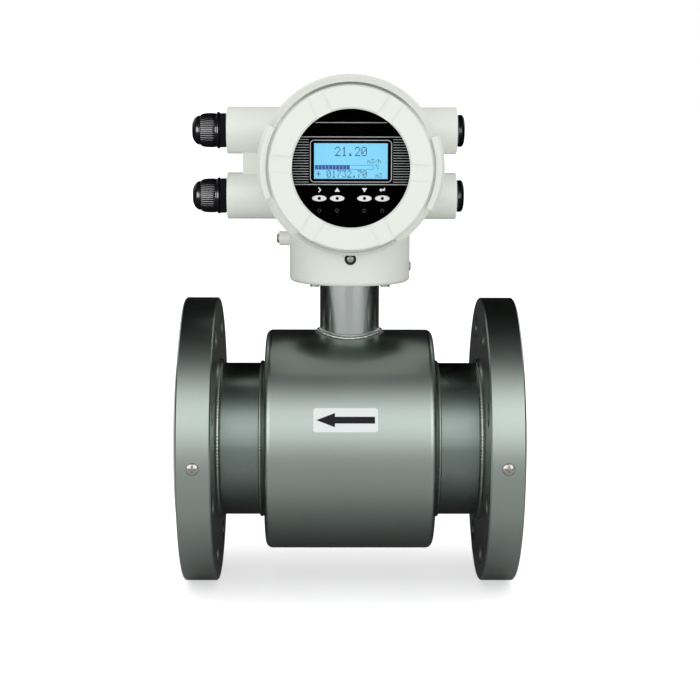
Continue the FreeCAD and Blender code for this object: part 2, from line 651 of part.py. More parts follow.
def electrode_nuts():
    """Nuts that draw both electrodes against the liner, as one group."""
    body = new_body("electrode_nuts")
    for name, back in (("Front", False), ("Rear", True)):
        sign = "-" if back else ""
        flats = hexagon(body, f"{name}Flats", "XZ", ("0", "0"), "electrode_nut_width",
                        f"{sign}{COLLAR_TOP}")
        pad(body, f"{name}Nut", flats, "electrode_nut_height", back=back)
    way = circles(body, "Thread", "XZ", [("0", "0")], "electrode_radius + 0.05",
                  "-electrode_reach - 2")
    pocket(body, "ThreadThrough", way, "2 * electrode_reach + 4", back=True)
    body.AllowCompound = True


LABEL_FACE = "(drum_radius + label_thickness)"
LABEL_TURN = "90 - label_angle"


def label_body(label):
    """A body turned about the bore so that its +Z passes through the label's middle."""
    body = new_body(label, turn=Rotation(Vector(1, 0, 0), number(LABEL_TURN)))
    bind(body, "Placement.Rotation.Angle", LABEL_TURN)
    return body


def flow_arrow_label():
    body = label_body("flow_arrow_label")
    section = rectangle(body, "Section", "XZ",
                        ("label_offset - label_width / 2", "drum_radius"),
                        ("label_offset + label_width / 2", LABEL_FACE))
    sheet_metal = turned(body, "BentPlate", section,
                         angle="label_height / drum_radius * 180 / pi")

    def is_corner(edge):
        return abs(edge.Length - number("label_thickness")) < SAME_PLACE

    rounded(body, "Corners", sheet_metal, "label_corner", is_corner)


def flow_arrow_print():
    """Printed arrow that points downstream, raised by the thickness of the print."""
    body = label_body("flow_arrow_print")
    tip = "label_offset - arrow_length / 2"
    neck = f"{tip} + arrow_head_length"
    tail = "label_offset + arrow_length / 2"
    arrow = outline(body, "Arrow", "XY", (
        (tip, "0"), (neck, "-arrow_head_width / 2"), (neck, "-arrow_shaft_width / 2"),
        (tail, "-arrow_shaft_width / 2"), (tail, "arrow_shaft_width / 2"),
        (neck, "arrow_shaft_width / 2"), (neck, "arrow_head_width / 2")),
        "drum_radius - 2")
    pad(body, "Prism", arrow, "arrow_blank")
    ends = ("label_offset - label_width", "label_offset + label_width")
    above = rectangle(body, "Above", "XZ", (ends[0], f"{LABEL_FACE} + arrow_proud"),
                      (ends[1], f"{LABEL_FACE} + 10"))
    turned(body, "FaceCut", above, cut=True)
    below = rectangle(body, "Below", "XZ", (ends[0], "drum_radius / 2"), (ends[1], LABEL_FACE))
    turned(body, "BackCut", below, cut=True)


# ---- neck -----------------------------------------------------------------------------------


NECK_HOLES = [(f"{a}{NECK_SCREW_RING} * cos(45)", f"{b}{NECK_SCREW_RING} * sin(45)")
              for a in ("", "-") for b in ("", "-")]


def neck_stem():
    body = new_body("neck_stem")
    step = f"({PLATE_BOTTOM} + neck_plate_thickness / 3)"
    profile = outline(body, "Profile", "XZ", (
        ("stem_radius", STEM_FOOT), ("stem_radius", PLATE_BOTTOM),
        (NECK_PLATE_RADIUS, PLATE_BOTTOM), (NECK_PLATE_RADIUS, PLATE_TOP),
        ("neck_bore_radius", PLATE_TOP), ("neck_bore_radius", step),
        ("stem_radius - stem_wall", step), ("stem_radius - stem_wall", STEM_FOOT)))
    turned(body, "TubeAndPlate", profile, "V_Axis")
    holes = circles(body, "ScrewHoles", "XY", NECK_HOLES, "neck_screw_radius + small_clearance",
                    f"{PLATE_TOP} + 1")
    pocket(body, "ScrewWays", holes, "neck_plate_thickness + 2")


def neck_gasket():
    body = new_body("neck_gasket")
    disc = circles(body, "Disc", "XY", [("0", "0")], NECK_PLATE_RADIUS, PLATE_TOP)
    pad(body, "Sheet", disc, "neck_gasket_thickness")
    openings = circles(body, "Opening", "XY", [("0", "0")], BASE_CAVITY,
                       f"{PLATE_TOP} + neck_gasket_thickness + 1")
    pocket(body, "Middle", openings, "neck_gasket_thickness + 2")
    holes = circles(body, "ScrewHoles", "XY", NECK_HOLES, "neck_screw_radius + small_clearance",
                    f"{PLATE_TOP} + neck_gasket_thickness + 1")
    pocket(body, "ScrewWays", holes, "neck_gasket_thickness + 2")


SCREW_LENGTH = "(neck_plate_thickness + neck_gasket_thickness + neck_screw_reach)"


def neck_screws():
    """The four cap screws that hold the head on the neck, as one group."""
    body = new_body("neck_screws")
    heads = circles(body, "Heads", "XY", NECK_HOLES, "neck_head_radius", PLATE_BOTTOM)
    pad(body, "CapHeads", heads, "neck_head_height", back=True)
    shanks = circles(body, "Shanks", "XY", NECK_HOLES, "neck_screw_radius", PLATE_BOTTOM)
    pad(body, "Threads", shanks, SCREW_LENGTH)
    loops = [[(f"{x} + neck_head_radius * 0.55 * cos({60 * k})",
               f"{y} + neck_head_radius * 0.55 * sin({60 * k})") for k in range(6)]
             for x, y in NECK_HOLES]
    keys = outlines(body, "Keys", "XY", loops, f"{PLATE_BOTTOM} - neck_head_height")
    pocket(body, "Sockets", keys, "neck_head_height / 2", back=True)
    body.AllowCompound = True


def lead_grommet():
    body = new_body("lead_grommet")
    bottom = f"{PLATE_TOP} - grommet_height"
    disc = circles(body, "Disc", "XY", [("0", "0")], "neck_bore_radius - small_clearance", bottom)
    pad(body, "Bung", disc, "grommet_height")
    way = circles(body, "Way", "XY", [("0", "0")], "lead_radius + small_clearance",
                  f"{PLATE_TOP} + 1")
    pocket(body, "LeadWay", way, "grommet_height + 2")


def sensor_lead():
    """Lead of the coils and electrodes: up the neck, back over a double bend, to the terminals."""
    low = number("yoke_inner_radius + yoke_wall + 0.3")
    bend_low = number(f"{PLATE_TOP} + 1")
    rise = number("lead_bend_rise")
    shift = number("port_offset")
    top = number("head_height - terminal_drop - 0.3")
    half = Vector(0, shift / 2, bend_low + rise / 2)
    turn_radius = (rise ** 2 + shift ** 2) / (4 * shift)
    half_angle = math.asin(rise / 2 / turn_radius) / 2
    sag = turn_radius * (1 - math.cos(half_angle))
    lower_middle = Vector(0, sag, bend_low + turn_radius * math.sin(half_angle))
    upper_middle = Vector(0, shift - sag, bend_low + rise - turn_radius * math.sin(half_angle))
    start = Vector(0, 0, low)
    path = Part.Wire([
        Part.LineSegment(start, Vector(0, 0, bend_low)).toShape(),
        Part.Arc(Vector(0, 0, bend_low), lower_middle, half).toShape(),
        Part.Arc(half, upper_middle, Vector(0, shift, bend_low + rise)).toShape(),
        Part.LineSegment(Vector(0, shift, bend_low + rise), Vector(0, shift, top)).toShape(),
    ])
    section = Part.Wire(Part.makeCircle(number("lead_radius"), start, Vector(0, 0, 1)))
    lead = doc.addObject("Part::Feature", "sensor_lead")
    lead.Label = "sensor_lead"
    lead.Shape = path.makePipeShell([section], True, True)
    lead.Placement = Placement()
    sub_parts.append(lead)


# ---- converter housing ----------------------------------------------------------------------


HEAD = ("0", "0", "head_height")
MOUTH = "barrel_half_depth"


def round_head_outside(body):
    """Barrel with a collar at each mouth, the foot, the ports and their webs."""
    collar_back = f"({MOUTH} - barrel_collar_width)"
    barrel = outline(body, "BarrelProfile", "YZ", (
        (f"-{MOUTH}", "0"), (f"-{MOUTH}", "barrel_collar_radius"),
        (f"-{collar_back}", "barrel_collar_radius"), (f"-{collar_back} + 2", "barrel_radius"),
        (f"{collar_back} - 2", "barrel_radius"), (collar_back, "barrel_collar_radius"),
        (MOUTH, "barrel_collar_radius"), (MOUTH, "0")))
    turned(body, "Barrel", barrel)
    foot = circles(body, "FootCircle", "XY", [("0", "0")], "base_radius",
                   "-base_drop")
    pad(body, "Foot", foot, "base_drop - chamber_radius * 0.6")
    upper = ("port_offset", "port_pitch / 2")
    lower = ("port_offset", "-port_pitch / 2")
    for name, end, web_end, back in (("Left", "left_port_end", "left_web_end", True),
                                     ("Right", "right_port_end", "right_web_end", False)):
        ports = circles(body, f"{name}PortCircles", "YZ", [upper, lower], "port_radius")
        pad(body, f"{name}Ports", ports, end, back=back)
        web = rectangle(body, f"{name}WebOutline", "YZ",
                        ("port_offset - web_thickness / 2", "-port_pitch / 2"),
                        ("port_offset + web_thickness / 2", "port_pitch / 2"))
        pad(body, f"{name}Web", web, web_end, back=back)
    boss = circles(body, "LockBossCircle", "XZ", [("0", "-lock_boss_drop")],
                   "lock_boss_radius", "base_radius / 2")
    pad(body, "LockBoss", boss, "base_radius / 2 + lock_boss_proud")
    earth = circles(body, "EarthBossCircle", "YZ", [("0", "-earth_boss_drop")],
                    "earth_boss_radius", "-base_radius / 2")
    return pad(body, "EarthBoss", earth, "base_radius / 2 + earth_boss_proud", back=True)


def round_head_inside(body):
    """Room for the front cover, the two threaded mouths, the chambers and the foot's hollow."""
    for name, side in (("Front", "-"), ("Rear", "")):
        room = rectangle(body, f"{name}CoverRoom", "YZ", (f"{side}{MOUTH}", "0"),
                         (f"{side}({MOUTH} + base_radius)", "cover_rim_radius + 1"))
        turned(body, f"{name}CoverSweep", room, cut=True)
    front_floor = "partition_front"
    rear_floor = "(partition_front + partition_wall)"
    front = outline(body, "FrontChamberProfile", "YZ", (
        (f"-{MOUTH} - 1", "0"), (f"-{MOUTH} - 1", "mouth_radius"),
        (f"-{MOUTH} + mouth_depth", "mouth_radius"),
        (f"-{MOUTH} + mouth_depth", "chamber_radius"),
        (front_floor, "chamber_radius"), (front_floor, "0")))
    turned(body, "FrontChamber", front, cut=True)
    rear = outline(body, "RearChamberProfile", "YZ", (
        (f"{MOUTH} + 1", "0"), (f"{MOUTH} + 1", "mouth_radius"),
        (f"{MOUTH} - mouth_depth", "mouth_radius"),
        (f"{MOUTH} - mouth_depth", "chamber_radius"),
        (rear_floor, "chamber_radius"), (rear_floor, "0")))
    turned(body, "RearChamber", rear, cut=True)
    bores = circles(body, "PortBores", "YZ",
                    [("port_offset", "port_pitch / 2"), ("port_offset", "-port_pitch / 2")],
                    "port_bore_radius", "-left_port_end - 1")
    pocket(body, "PortThreads", bores, "left_port_end + right_port_end + 2", back=True)
    mouth = circles(body, "FootMouthCircle", "XY", [("0", "0")],
                    f"{NECK_PLATE_RADIUS} + small_clearance", "-base_drop - 1")
    pocket(body, "FootMouth", mouth, f"{FOOT_STACK} + 1", back=True)
    hollow = circles(body, "FootHollowCircle", "XY", [("0", "0")], BASE_CAVITY,
                     "-base_drop")
    pocket(body, "FootHollow", hollow, f"{FOOT_STACK} + base_cavity_height", back=True)
    passage = circles(body, "LeadPassage", "XY", [("0", "port_offset * 0.75")],
                      "lead_radius * 2", "-base_drop")
    return pocket(body, "LeadWay", passage, "base_drop - chamber_radius / 2",
                  back=True)


def screw_holes(body):
    """Tapped holes of the neck screws and of the housing's three small screws."""
    neck = circles(body, "NeckThreads", "XY", NECK_HOLES, "neck_screw_radius + 0.05",
                   "-base_drop")
    pocket(body, "NeckTapped", neck, f"{FOOT_STACK} + neck_screw_reach + 1", back=True)
    small = "small_screw_radius + 0.05"
    lock = circles(body, "LockThread", "XZ", [("0", "-lock_boss_drop")], small,
                   "base_radius + lock_boss_proud + 1")
    pocket(body, "LockTapped", lock, "small_screw_depth + lock_seat_depth + 2")
    seat = circles(body, "LockSeatCircle", "XZ", [("0", "-lock_boss_drop")], "lock_seat_radius",
                   "base_radius + lock_boss_proud + 1")
    pocket(body, "LockSeat", seat, "lock_seat_depth + 1")
    side = circles(body, "SideThread", "YZ", [("0", "-side_screw_drop")], small,
                   "base_radius + 1")
    pocket(body, "SideTapped", side, "side_screw_depth + 1.2")
    earth = circles(body, "EarthThread", "YZ", [("0", "-earth_boss_drop")], small,
                    "-base_radius - earth_boss_proud - 1")
    pocket(body, "EarthTapped", earth, "small_screw_depth + 2", back=True)


def converter_housing():
    body = new_body("converter_housing", HEAD)
    solid = round_head_outside(body)
    rims = [(-number("left_port_end"), number("port_radius")),
            (number("right_port_end"), number("port_radius"))]
    bottom = number("-base_drop")
    foot = number("base_radius")
    cast = rounded(body, "PortRims", solid, "port_edge", lambda edge: any(
        is_circle(edge, "X", end, radius) for end, radius in rims))
    rounded(body, "FootEdge", cast, "base_edge",
            lambda edge: is_circle(edge, "Z", bottom, foot))
    round_head_inside(body)
    screw_holes(body)


def small_screw(label, place, turn, depth="small_screw_depth", height="small_head_height"):
    """Pan-head screw whose head sits at a place on the housing, turned to point outwards."""
    body = turned_piece(label, (
        (f"-{depth}", "0"), (f"-{depth}", "small_screw_radius"),
        ("0", "small_screw_radius"), ("0", "small_head_radius"),
        (f"{height} * 0.6", "small_head_radius"),
        (height, "small_head_radius * 0.6"), (height, "0")), place, turn)
    bar, half = "small_head_radius * 0.75", "cross_width / 2"
    cross = outlines(body, "CrossRecess", "YZ", [[
        (f"-{bar}", f"-{half}"), (f"-{half}", f"-{half}"), (f"-{half}", f"-{bar}"),
        (half, f"-{bar}"), (half, f"-{half}"), (bar, f"-{half}"), (bar, half), (half, half),
        (half, bar), (f"-{half}", bar), (f"-{half}", half), (f"-{bar}", half)]], height)
    pocket(body, "Cross", cross, f"{height} / 2")


# ---- covers ---------------------------------------------------------------------------------


def cover_turn(facing_front):
    """Rest position of a cover: its thread stops a little past the level."""
    sign = 1 if facing_front else -1
    return Rotation(Vector(0, 1, 0), sign * number("cover_rest_angle"))


GROOVE_OUT = "(seal_circle_radius + seal_section_radius + seal_groove_clearance)"
GROOVE_IN = "(seal_circle_radius - seal_section_radius - seal_groove_clearance)"
RIM = "(barrel_half_depth + cover_gap)"
GROOVE_FLOOR = f"({RIM} - seal_proud + 2 * seal_section_radius + seal_groove_clearance)"
SPIGOT_RADIUS = "(mouth_radius - thread_clearance)"
SPIGOT_END = "(barrel_half_depth - thread_length)"


def cover_skirt(side, depth):
    """Outer side of a cover from its face down to the end of its thread."""
    return [
        (f"{side}(barrel_half_depth + {depth})", "cover_face_radius"),
        (f"{side}{RIM}", "cover_rim_radius"),
        (f"{side}{RIM}", GROOVE_OUT),
        (f"{side}{GROOVE_FLOOR}", GROOVE_OUT),
        (f"{side}{GROOVE_FLOOR}", GROOVE_IN),
        (f"{side}{RIM}", GROOVE_IN),
        (f"{side}{RIM}", SPIGOT_RADIUS),
        (f"{side}{SPIGOT_END}", SPIGOT_RADIUS),
        (f"{side}{SPIGOT_END}", "cover_inner_radius"),
    ]


def grip_lugs(body, side, front, back):
    """Four lugs round a cover: a wider pair at top and bottom, a taller pair at the sides."""
    inside = "(cover_inner_radius + 2)"

    def lug_profile(radius, mirrored):
        sign = "-" if mirrored else ""
        return ((f"{side}(barrel_half_depth + {back})", f"{sign}{inside}"),
                (f"{side}(barrel_half_depth + {back})", f"{sign}{radius}"),
                (f"{side}(barrel_half_depth + {front} - lug_slope)", f"{sign}{radius}"),
                (f"{side}(barrel_half_depth + {front})", f"{sign}({radius} - lug_slope * 0.5)"),
                (f"{side}(barrel_half_depth + {front})", f"{sign}{inside}"))

    for name, mirrored in (("Top", False), ("Bottom", True)):
        section = outline(body, f"{name}LugSection", "YZ", lug_profile("top_lug_radius", mirrored))
        turned(body, f"{name}Lug", section, angle="top_lug_angle")
    for name, mirrored in (("Right", False), ("Left", True)):
        corners = [(radius, along) for along, radius in lug_profile("side_lug_radius", mirrored)]
        section = outline(body, f"{name}LugSection", "XY", corners)
        turned(body, f"{name}Lug", section, "V_Axis", angle="side_lug_angle")


def ring_and_groove(body, side, front):
    """Ring that joins the lugs, and the deep groove that parts it from the cover's face."""
    ring = outline(body, "RingSection", "YZ", (
        (f"{side}(barrel_half_depth + lug_back)", "cover_inner_radius + 2"),
        (f"{side}(barrel_half_depth + lug_back)", "cover_ring_radius"),
        (f"{side}(barrel_half_depth + {front} - cover_ring_setback)", "cover_ring_radius"),
        (f"{side}(barrel_half_depth + {front} - cover_ring_setback)", "cover_inner_radius + 2")))
    turned(body, "LugRing", ring)
    groove = rectangle(body, "GrooveSection", "YZ",
                       (f"{side}(barrel_half_depth + lug_back + face_groove_floor)",
                        "face_groove_inner"),
                       (f"{side}(barrel_half_depth + {front} + 1)", "face_groove_outer"))
    turned(body, "FaceGroove", groove, cut=True)


def wrench_slots(body, side, depth, inner):
    """Shallow radial slots across the face, for a strap wrench."""
    face = f"(barrel_half_depth + {depth})"
    slot = rectangle(body, "SlotOutline", "XZ", (inner, "-slot_width / 2"),
                     ("cover_rim_radius + 2", "slot_width / 2"),
                     f"{'' if side == '-' else '-'}{face}")
    first = pocket(body, "FirstSlot", slot, "slot_depth", back=side != "-")
    round_array(body, "WrenchSlots", [first], "Y", "slot_count")


def front_cover():
    body = new_body("front_cover", HEAD, cover_turn(True))
    face = "(barrel_half_depth + cover_depth)"
    seat = f"({face} - window_lip)"
    step = f"({seat} - glass_gasket_thickness - glass_thickness - retainer_thickness)"
    profile = outline(body, "Profile", "YZ", cover_skirt("-", "cover_depth") + [
        (f"-{step}", "cover_inner_radius"), (f"-{step}", "glass_seat_radius"),
        (f"-{seat}", "glass_seat_radius"), (f"-{seat}", "window_radius"),
        (f"-{face} + window_chamfer", "window_radius"),
        (f"-{face}", "window_radius + window_chamfer")])
    skirt = turned(body, "Skirt", profile)
    front = number(f"-{face}")
    edge_radius = number("cover_face_radius")
    rounded(body, "FaceEdge", skirt, "cover_face_edge",
            lambda edge: is_circle(edge, "Y", front, edge_radius))
    grip_lugs(body, "-", "lug_front", "lug_back")
    ring_and_groove(body, "-", "lug_front")
    wrench_slots(body, "-", "cover_depth", "window_radius")


def rear_cover():
    body = new_body("rear_cover", HEAD, cover_turn(False))
    face = "(barrel_half_depth + rear_cover_depth)"
    profile = outline(body, "Profile", "YZ", cover_skirt("", "rear_cover_depth") + [
        (f"{face} - rear_cover_wall", "cover_inner_radius"),
        (f"{face} - rear_cover_wall", "0"), (face, "0")])
    skirt = turned(body, "Skirt", profile)
    back = number(face)
    edge_radius = number("cover_face_radius")
    rounded(body, "FaceEdge", skirt, "cover_face_edge",
            lambda edge: is_circle(edge, "Y", back, edge_radius))
    lugs_end = "(lug_front - rear_lug_setback)"
    grip_lugs(body, "", lugs_end, "lug_back")
    ring_and_groove(body, "", lugs_end)
    wrench_slots(body, "", "rear_cover_depth", "window_radius")


def cover_seal(label, side):
    """O-ring in the groove of a cover, just proud of the cover's rim."""
    body = new_body(label, HEAD)
    sketch = circles(body, "Section", "YZ",
                     [(f"{side}({RIM} - seal_proud + seal_section_radius)", "seal_circle_radius")],
                     "seal_section_radius")
    turned(body, "Ring", sketch)


GLASS_FRONT = ("(barrel_half_depth + cover_depth - window_lip - glass_gasket_thickness)")
GLASS_BACK = f"({GLASS_FRONT} - glass_thickness)"
RETAINER_BACK = f"({GLASS_BACK} - retainer_thickness)"


def ring_of_head(label, front, back, outer, inner):
    """A plain ring or disc about the head's axis; front and back are distances to the front."""
    body = new_body(label, HEAD)
    low, high = (f"-{front}", inner), (f"-{back}", outer)
    turned(body, "Turned", rectangle(body, "Profile", "YZ", low, high))


def window_pieces():
    glass_radius = "glass_seat_radius - glass_clearance"
    ring_of_head("window_gasket", f"({GLASS_FRONT} + glass_gasket_thickness)", GLASS_FRONT,
                 glass_radius, "window_radius")
    ring_of_head("window_glass", GLASS_FRONT, GLASS_BACK, glass_radius, "0")
    ring_of_head("glass_retaining_ring", GLASS_BACK, RETAINER_BACK, glass_radius,
                 "retainer_inner_radius")


# ---- display and electronics ------------------------------------------------------------------


PANEL_FRONT = f"({RETAINER_BACK} - panel_setback)"
PANEL_BACK = f"({PANEL_FRONT} - panel_thickness)"
BOARD_FRONT = f"({PANEL_BACK} - board_setback)"
BOARD_BACK = f"({BOARD_FRONT} - board_thickness)"
MAIN_FRONT = "(-partition_front + main_board_setback + board_thickness)"
MAIN_BACK = "(-partition_front + main_board_setback)"
KEY_PLACES = (
    ("key_next", "-outer_key_offset"),
    ("key_up", "-inner_key_offset"),
    ("key_down", "inner_key_offset"),
    ("key_enter", "outer_key_offset"),
)
SPACER_PLACES = [(f"{a}spacer_offset_wide", f"{b}spacer_offset_high")
                 for a in ("", "-") for b in ("", "-")]


def middle_rectangle(body, name, width, height, rise, offset):
    return rectangle(body, name, "XZ", (f"-({width}) / 2", f"{rise} - ({height}) / 2"),
                     (f"({width}) / 2", f"{rise} + ({height}) / 2"), offset)


def display_panel():
    """Round panel with a raised frame round the display and four oval key holes."""
    body = new_body("display_panel", HEAD)
    disc = circles(body, "Disc", "XZ", [("0", "0")], "panel_radius", PANEL_BACK)
    pad(body, "Plate", disc, "panel_thickness")
    frame = middle_rectangle(body, "FrameOutline", "bezel_width", "bezel_height", "display_rise",
                             PANEL_BACK)
    raised = pad(body, "Frame", frame, "panel_thickness + bezel_proud")
    top = -number(f"{PANEL_FRONT} + bezel_proud")

    def is_frame_corner(edge):
        ends = [vertex.Point.y for vertex in edge.Vertexes]
        return len(ends) == 2 and abs(ends[0] - ends[1]) > 0.1 and abs(min(ends) - top) < SAME_PLACE

    rounded(body, "FrameCorners", raised, "bezel_line * 3", is_frame_corner)
    inner = middle_rectangle(body, "FrameInside", "bezel_width - 2 * bezel_line",
                             "bezel_height - 2 * bezel_line", "display_rise",
                             f"{PANEL_FRONT} + bezel_proud")
    pocket(body, "FrameRecess", inner, "bezel_proud")
    opening = middle_rectangle(body, "DisplayOpening", "display_width", "display_height",
                               "display_rise", f"{PANEL_FRONT} + 1")
    pocket(body, "DisplayWindow", opening, "panel_thickness + 2")
    for label, across in KEY_PLACES:
        hole = ellipses(body, f"Hole_{label}", "XZ", (across, "-key_drop"),
                        "key_width / 2 + key_clearance", "key_height / 2 + key_clearance",
                        f"{PANEL_FRONT} + 1")
        pocket(body, f"Way_{label}", hole, "panel_thickness + 2")


def lcd_module():
    """Display module behind the panel; its glass stands in the panel's opening."""
    body = new_body("lcd_module", HEAD)
    frame = middle_rectangle(body, "ModuleOutline", "display_width + 2 * lcd_margin",
                             "display_height + 2 * lcd_margin", "display_rise",
                             f"{PANEL_BACK} - lcd_depth")
    pad(body, "Module", frame, "lcd_depth")
    screen = middle_rectangle(body, "ScreenOutline", "display_width - 0.4",
                              "display_height - 0.4", "display_rise", f"{PANEL_BACK} - lcd_depth")
    pad(body, "Screen", screen, "lcd_depth + panel_thickness * 0.8")


def key(label, across):
    """Oval push key with a collar behind the panel and a stem to its switch."""
    body = new_body(label, HEAD)
    centre = (across, "-key_drop")
    collar_front = f"({PANEL_BACK} - 0.1)"
    cap = ellipses(body, "CapOval", "XZ", centre, "key_width / 2", "key_height / 2",
                   f"{collar_front} - key_collar")
    pad(body, "Cap", cap, f"{PANEL_FRONT} + key_proud - {collar_front} + key_collar")
    collar = ellipses(body, "CollarOval", "XZ", centre, "key_width / 2 + key_collar",
                      "key_height / 2 + key_collar", f"{collar_front} - key_collar")
    pad(body, "Collar", collar, "key_collar")
    stem = circles(body, "StemCircle", "XZ", [centre], "key_stem_radius",
                   f"{BOARD_FRONT} + key_travel + 0.1")
    pad(body, "Stem", stem,
        f"{collar_front} - key_collar - {BOARD_FRONT} - key_travel - 0.1")


def board(label, radius, front):
    """Round circuit board with the holes of its spacers."""
    body = new_body(label, HEAD)
    disc = circles(body, "Disc", "XZ", [("0", "0")], radius, f"{front} - board_thickness")
    pad(body, "Sheet", disc, "board_thickness")
    holes = circles(body, "SpacerHoles", "XZ", SPACER_PLACES, "board_hole_radius", f"{front} + 1")
    pocket(body, "SpacerWays", holes, "board_thickness + 2")


def spacers(label, back, front):
    """Four spacers between two boards, as one group."""
    body = new_body(label, HEAD)
    rods = circles(body, "Rods", "XZ", SPACER_PLACES, "spacer_radius", back)
    pad(body, "Spacers", rods, f"{front} - {back}")
    body.AllowCompound = True


def electronics():
    display_panel()
    lcd_module()
    for label, across in KEY_PLACES:
        key(label, across)
    board("display_board", "board_radius", BOARD_FRONT)
    board("main_board", "main_board_radius", MAIN_FRONT)
    spacers("panel_spacers", BOARD_FRONT, PANEL_BACK)
    spacers("display_spacers", MAIN_FRONT, BOARD_BACK)
    spacers("main_board_spacers", "(-partition_front)", MAIN_BACK)


TERMINAL_BACK = "(-partition_front - partition_wall)"


def terminal_block():
    """Row of terminals on the partition: the conductors go in from below."""
    body = new_body("terminal_block", HEAD)
    block = rectangle(body, "Outline", "XZ", ("-terminal_width / 2", "-terminal_drop"),
                      ("terminal_width / 2", "terminal_height - terminal_drop"),
                      f"{TERMINAL_BACK} - terminal_depth")
    pad(body, "Block", block, "terminal_depth")
    first = "-terminal_pitch * (terminal_count - 1) / 2"
    middle = f"(terminal_depth / 2 - {TERMINAL_BACK})"
    entry = rectangle(body, "EntryOutline", "XY",
                      (f"{first} - terminal_entry / 2", f"{middle} - terminal_entry / 2"),
                      (f"{first} + terminal_entry / 2", f"{middle} + terminal_entry / 2"),
                      "-terminal_drop")
    entry_cut = pocket(body, "FirstEntry", entry, "terminal_entry_depth", back=True)
    head = circles(body, "ScrewWellCircle", "XZ", [(first, "terminal_height / 3")],
                   "terminal_well_radius", f"{TERMINAL_BACK} - terminal_depth")
    well = pocket(body, "FirstWell", head, "terminal_well_depth", back=True)
    row_pattern = body.newObject("PartDesign::LinearPattern", "Terminals")
    row_pattern.Originals = [entry_cut, well]
    row_pattern.Direction = (origin_feature(body, "X_Axis"), [""])
    bind(row_pattern, "Length", "terminal_pitch * (terminal_count - 1)")
    bind(row_pattern, "Occurrences", "terminal_count")
    body.Tip = row_pattern


def terminal_screws():
    """Clamping screws in the wells of the terminal block, as one group."""
    body = new_body("terminal_screws", HEAD)
    first = "-terminal_pitch * (terminal_count - 1) / 2"
    head = circles(body, "Head", "XZ", [(first, "terminal_height / 3")], "terminal_screw_radius",
                   f"{TERMINAL_BACK} - terminal_depth + terminal_well_depth")
    disc = pad(body, "FirstScrew", head, "terminal_screw_height", back=True)
    body.AllowCompound = True
    row_pattern = body.newObject("PartDesign::LinearPattern", "Screws")
    row_pattern.Originals = [disc]
    row_pattern.Direction = (origin_feature(body, "X_Axis"), [""])
    bind(row_pattern, "Length", "terminal_pitch * (terminal_count - 1)")
    bind(row_pattern, "Occurrences", "terminal_count")
    body.Tip = row_pattern


# ---- cable glands and blanking plugs ----------------------------------------------------------


def gland(prefix, rise):
    """Gland body, rubber seal and ribbed nut of one left port."""
    place = ("-left_port_end", "port_offset", f"head_height + {rise}")
    thread_end = "(gland_hex_length + gland_thread_length)"
    entry = "(port_bore_radius - entry_clearance)"
    body = turned_piece(f"{prefix}_gland_body", (
        ("-gland_entry_length", "gland_bore_radius"), ("-gland_entry_length", entry),
        ("0", entry), ("0", "gland_hex_width / 2 * 0.96"),
        ("gland_hex_foot", "gland_hex_width / 2"), ("gland_hex_foot", "gland_thread_radius"),
        (thread_end, "gland_thread_radius"),
        (thread_end, "gland_bore_radius")), place, TO_LEFT)
    flats = hexagon(body, "HexOutline", "YZ", ("0", "0"), "gland_hex_width", "gland_hex_foot")
    pad(body, "Hexagon", flats, "gland_hex_length - gland_hex_foot")
    bore = circles(body, "BoreCircle", "YZ", [("0", "0")], "gland_bore_radius",
                   "-gland_entry_length - 1")
    pocket(body, "Bore", bore, f"gland_entry_length + {thread_end} + 2", back=True)
    gland_nut(f"{prefix}_gland_nut", place)
    seal_start = f"({thread_end} + 0.3)"
    turned_piece(f"{prefix}_gland_seal", (
        (seal_start, "gland_seal_hole"), (seal_start, "gland_thread_radius - 0.5"),
        ("nut_hollow_end", "nut_mouth_radius - 0.3"),
        ("nut_hollow_end + 1.2", "nut_mouth_radius - 0.3"),
        ("nut_hollow_end + 1.2", "gland_seal_hole")), place, TO_LEFT)


DOME_TURNS = [math.radians(angle) for angle in (0, 20, 40, 60, 78)]


def gland_nut(label, place):
    """Ribbed nut with a domed end, hollow over the gland's thread and seal."""
    start = "(gland_hex_length + 0.3)"
    ribs_start = f"({start} + nut_collar_width + 1)"
    ribs_end = f"({ribs_start} + nut_ribbed_length)"
    wall = "(gland_thread_radius + 0.3)"
    thread_end = "(gland_hex_length + gland_thread_length + 0.6)"
    narrow = "(nut_radius - nut_taper)"
    dome = [(f"{ribs_end} + nut_dome_length * {math.sin(turn):.4f}",
             f"nut_dome_radius + ({narrow} - nut_dome_radius) * {math.cos(turn):.4f}")
            for turn in DOME_TURNS]
    body = turned_piece(label, [
        (start, wall), (start, "nut_collar_radius"),
        (f"{start} + nut_collar_width", "nut_collar_radius"),
        (f"{start} + nut_collar_width + 0.2", "nut_neck_radius"),
        (f"{ribs_start} - 0.2", "nut_neck_radius"), (ribs_start, "nut_radius")] + dome + [
        (f"{ribs_end} + nut_dome_length", "nut_mouth_radius"),
        ("nut_hollow_end", "nut_mouth_radius"), (thread_end, wall)], place, TO_LEFT)
    notch = circles(body, "RibGroove", "YZ", [("0", "nut_radius + 0.1")], "nut_rib_radius",
                    f"{ribs_start} - 0.5")
    groove = pocket(body, "FirstGroove", notch, "nut_ribbed_length + 1", back=True)
    round_array(body, "Ribs", [groove], "X", "nut_rib_count")


PLUG_TURNS = [math.radians(angle) for angle in (0, 12, 26, 42, 60, 78)]


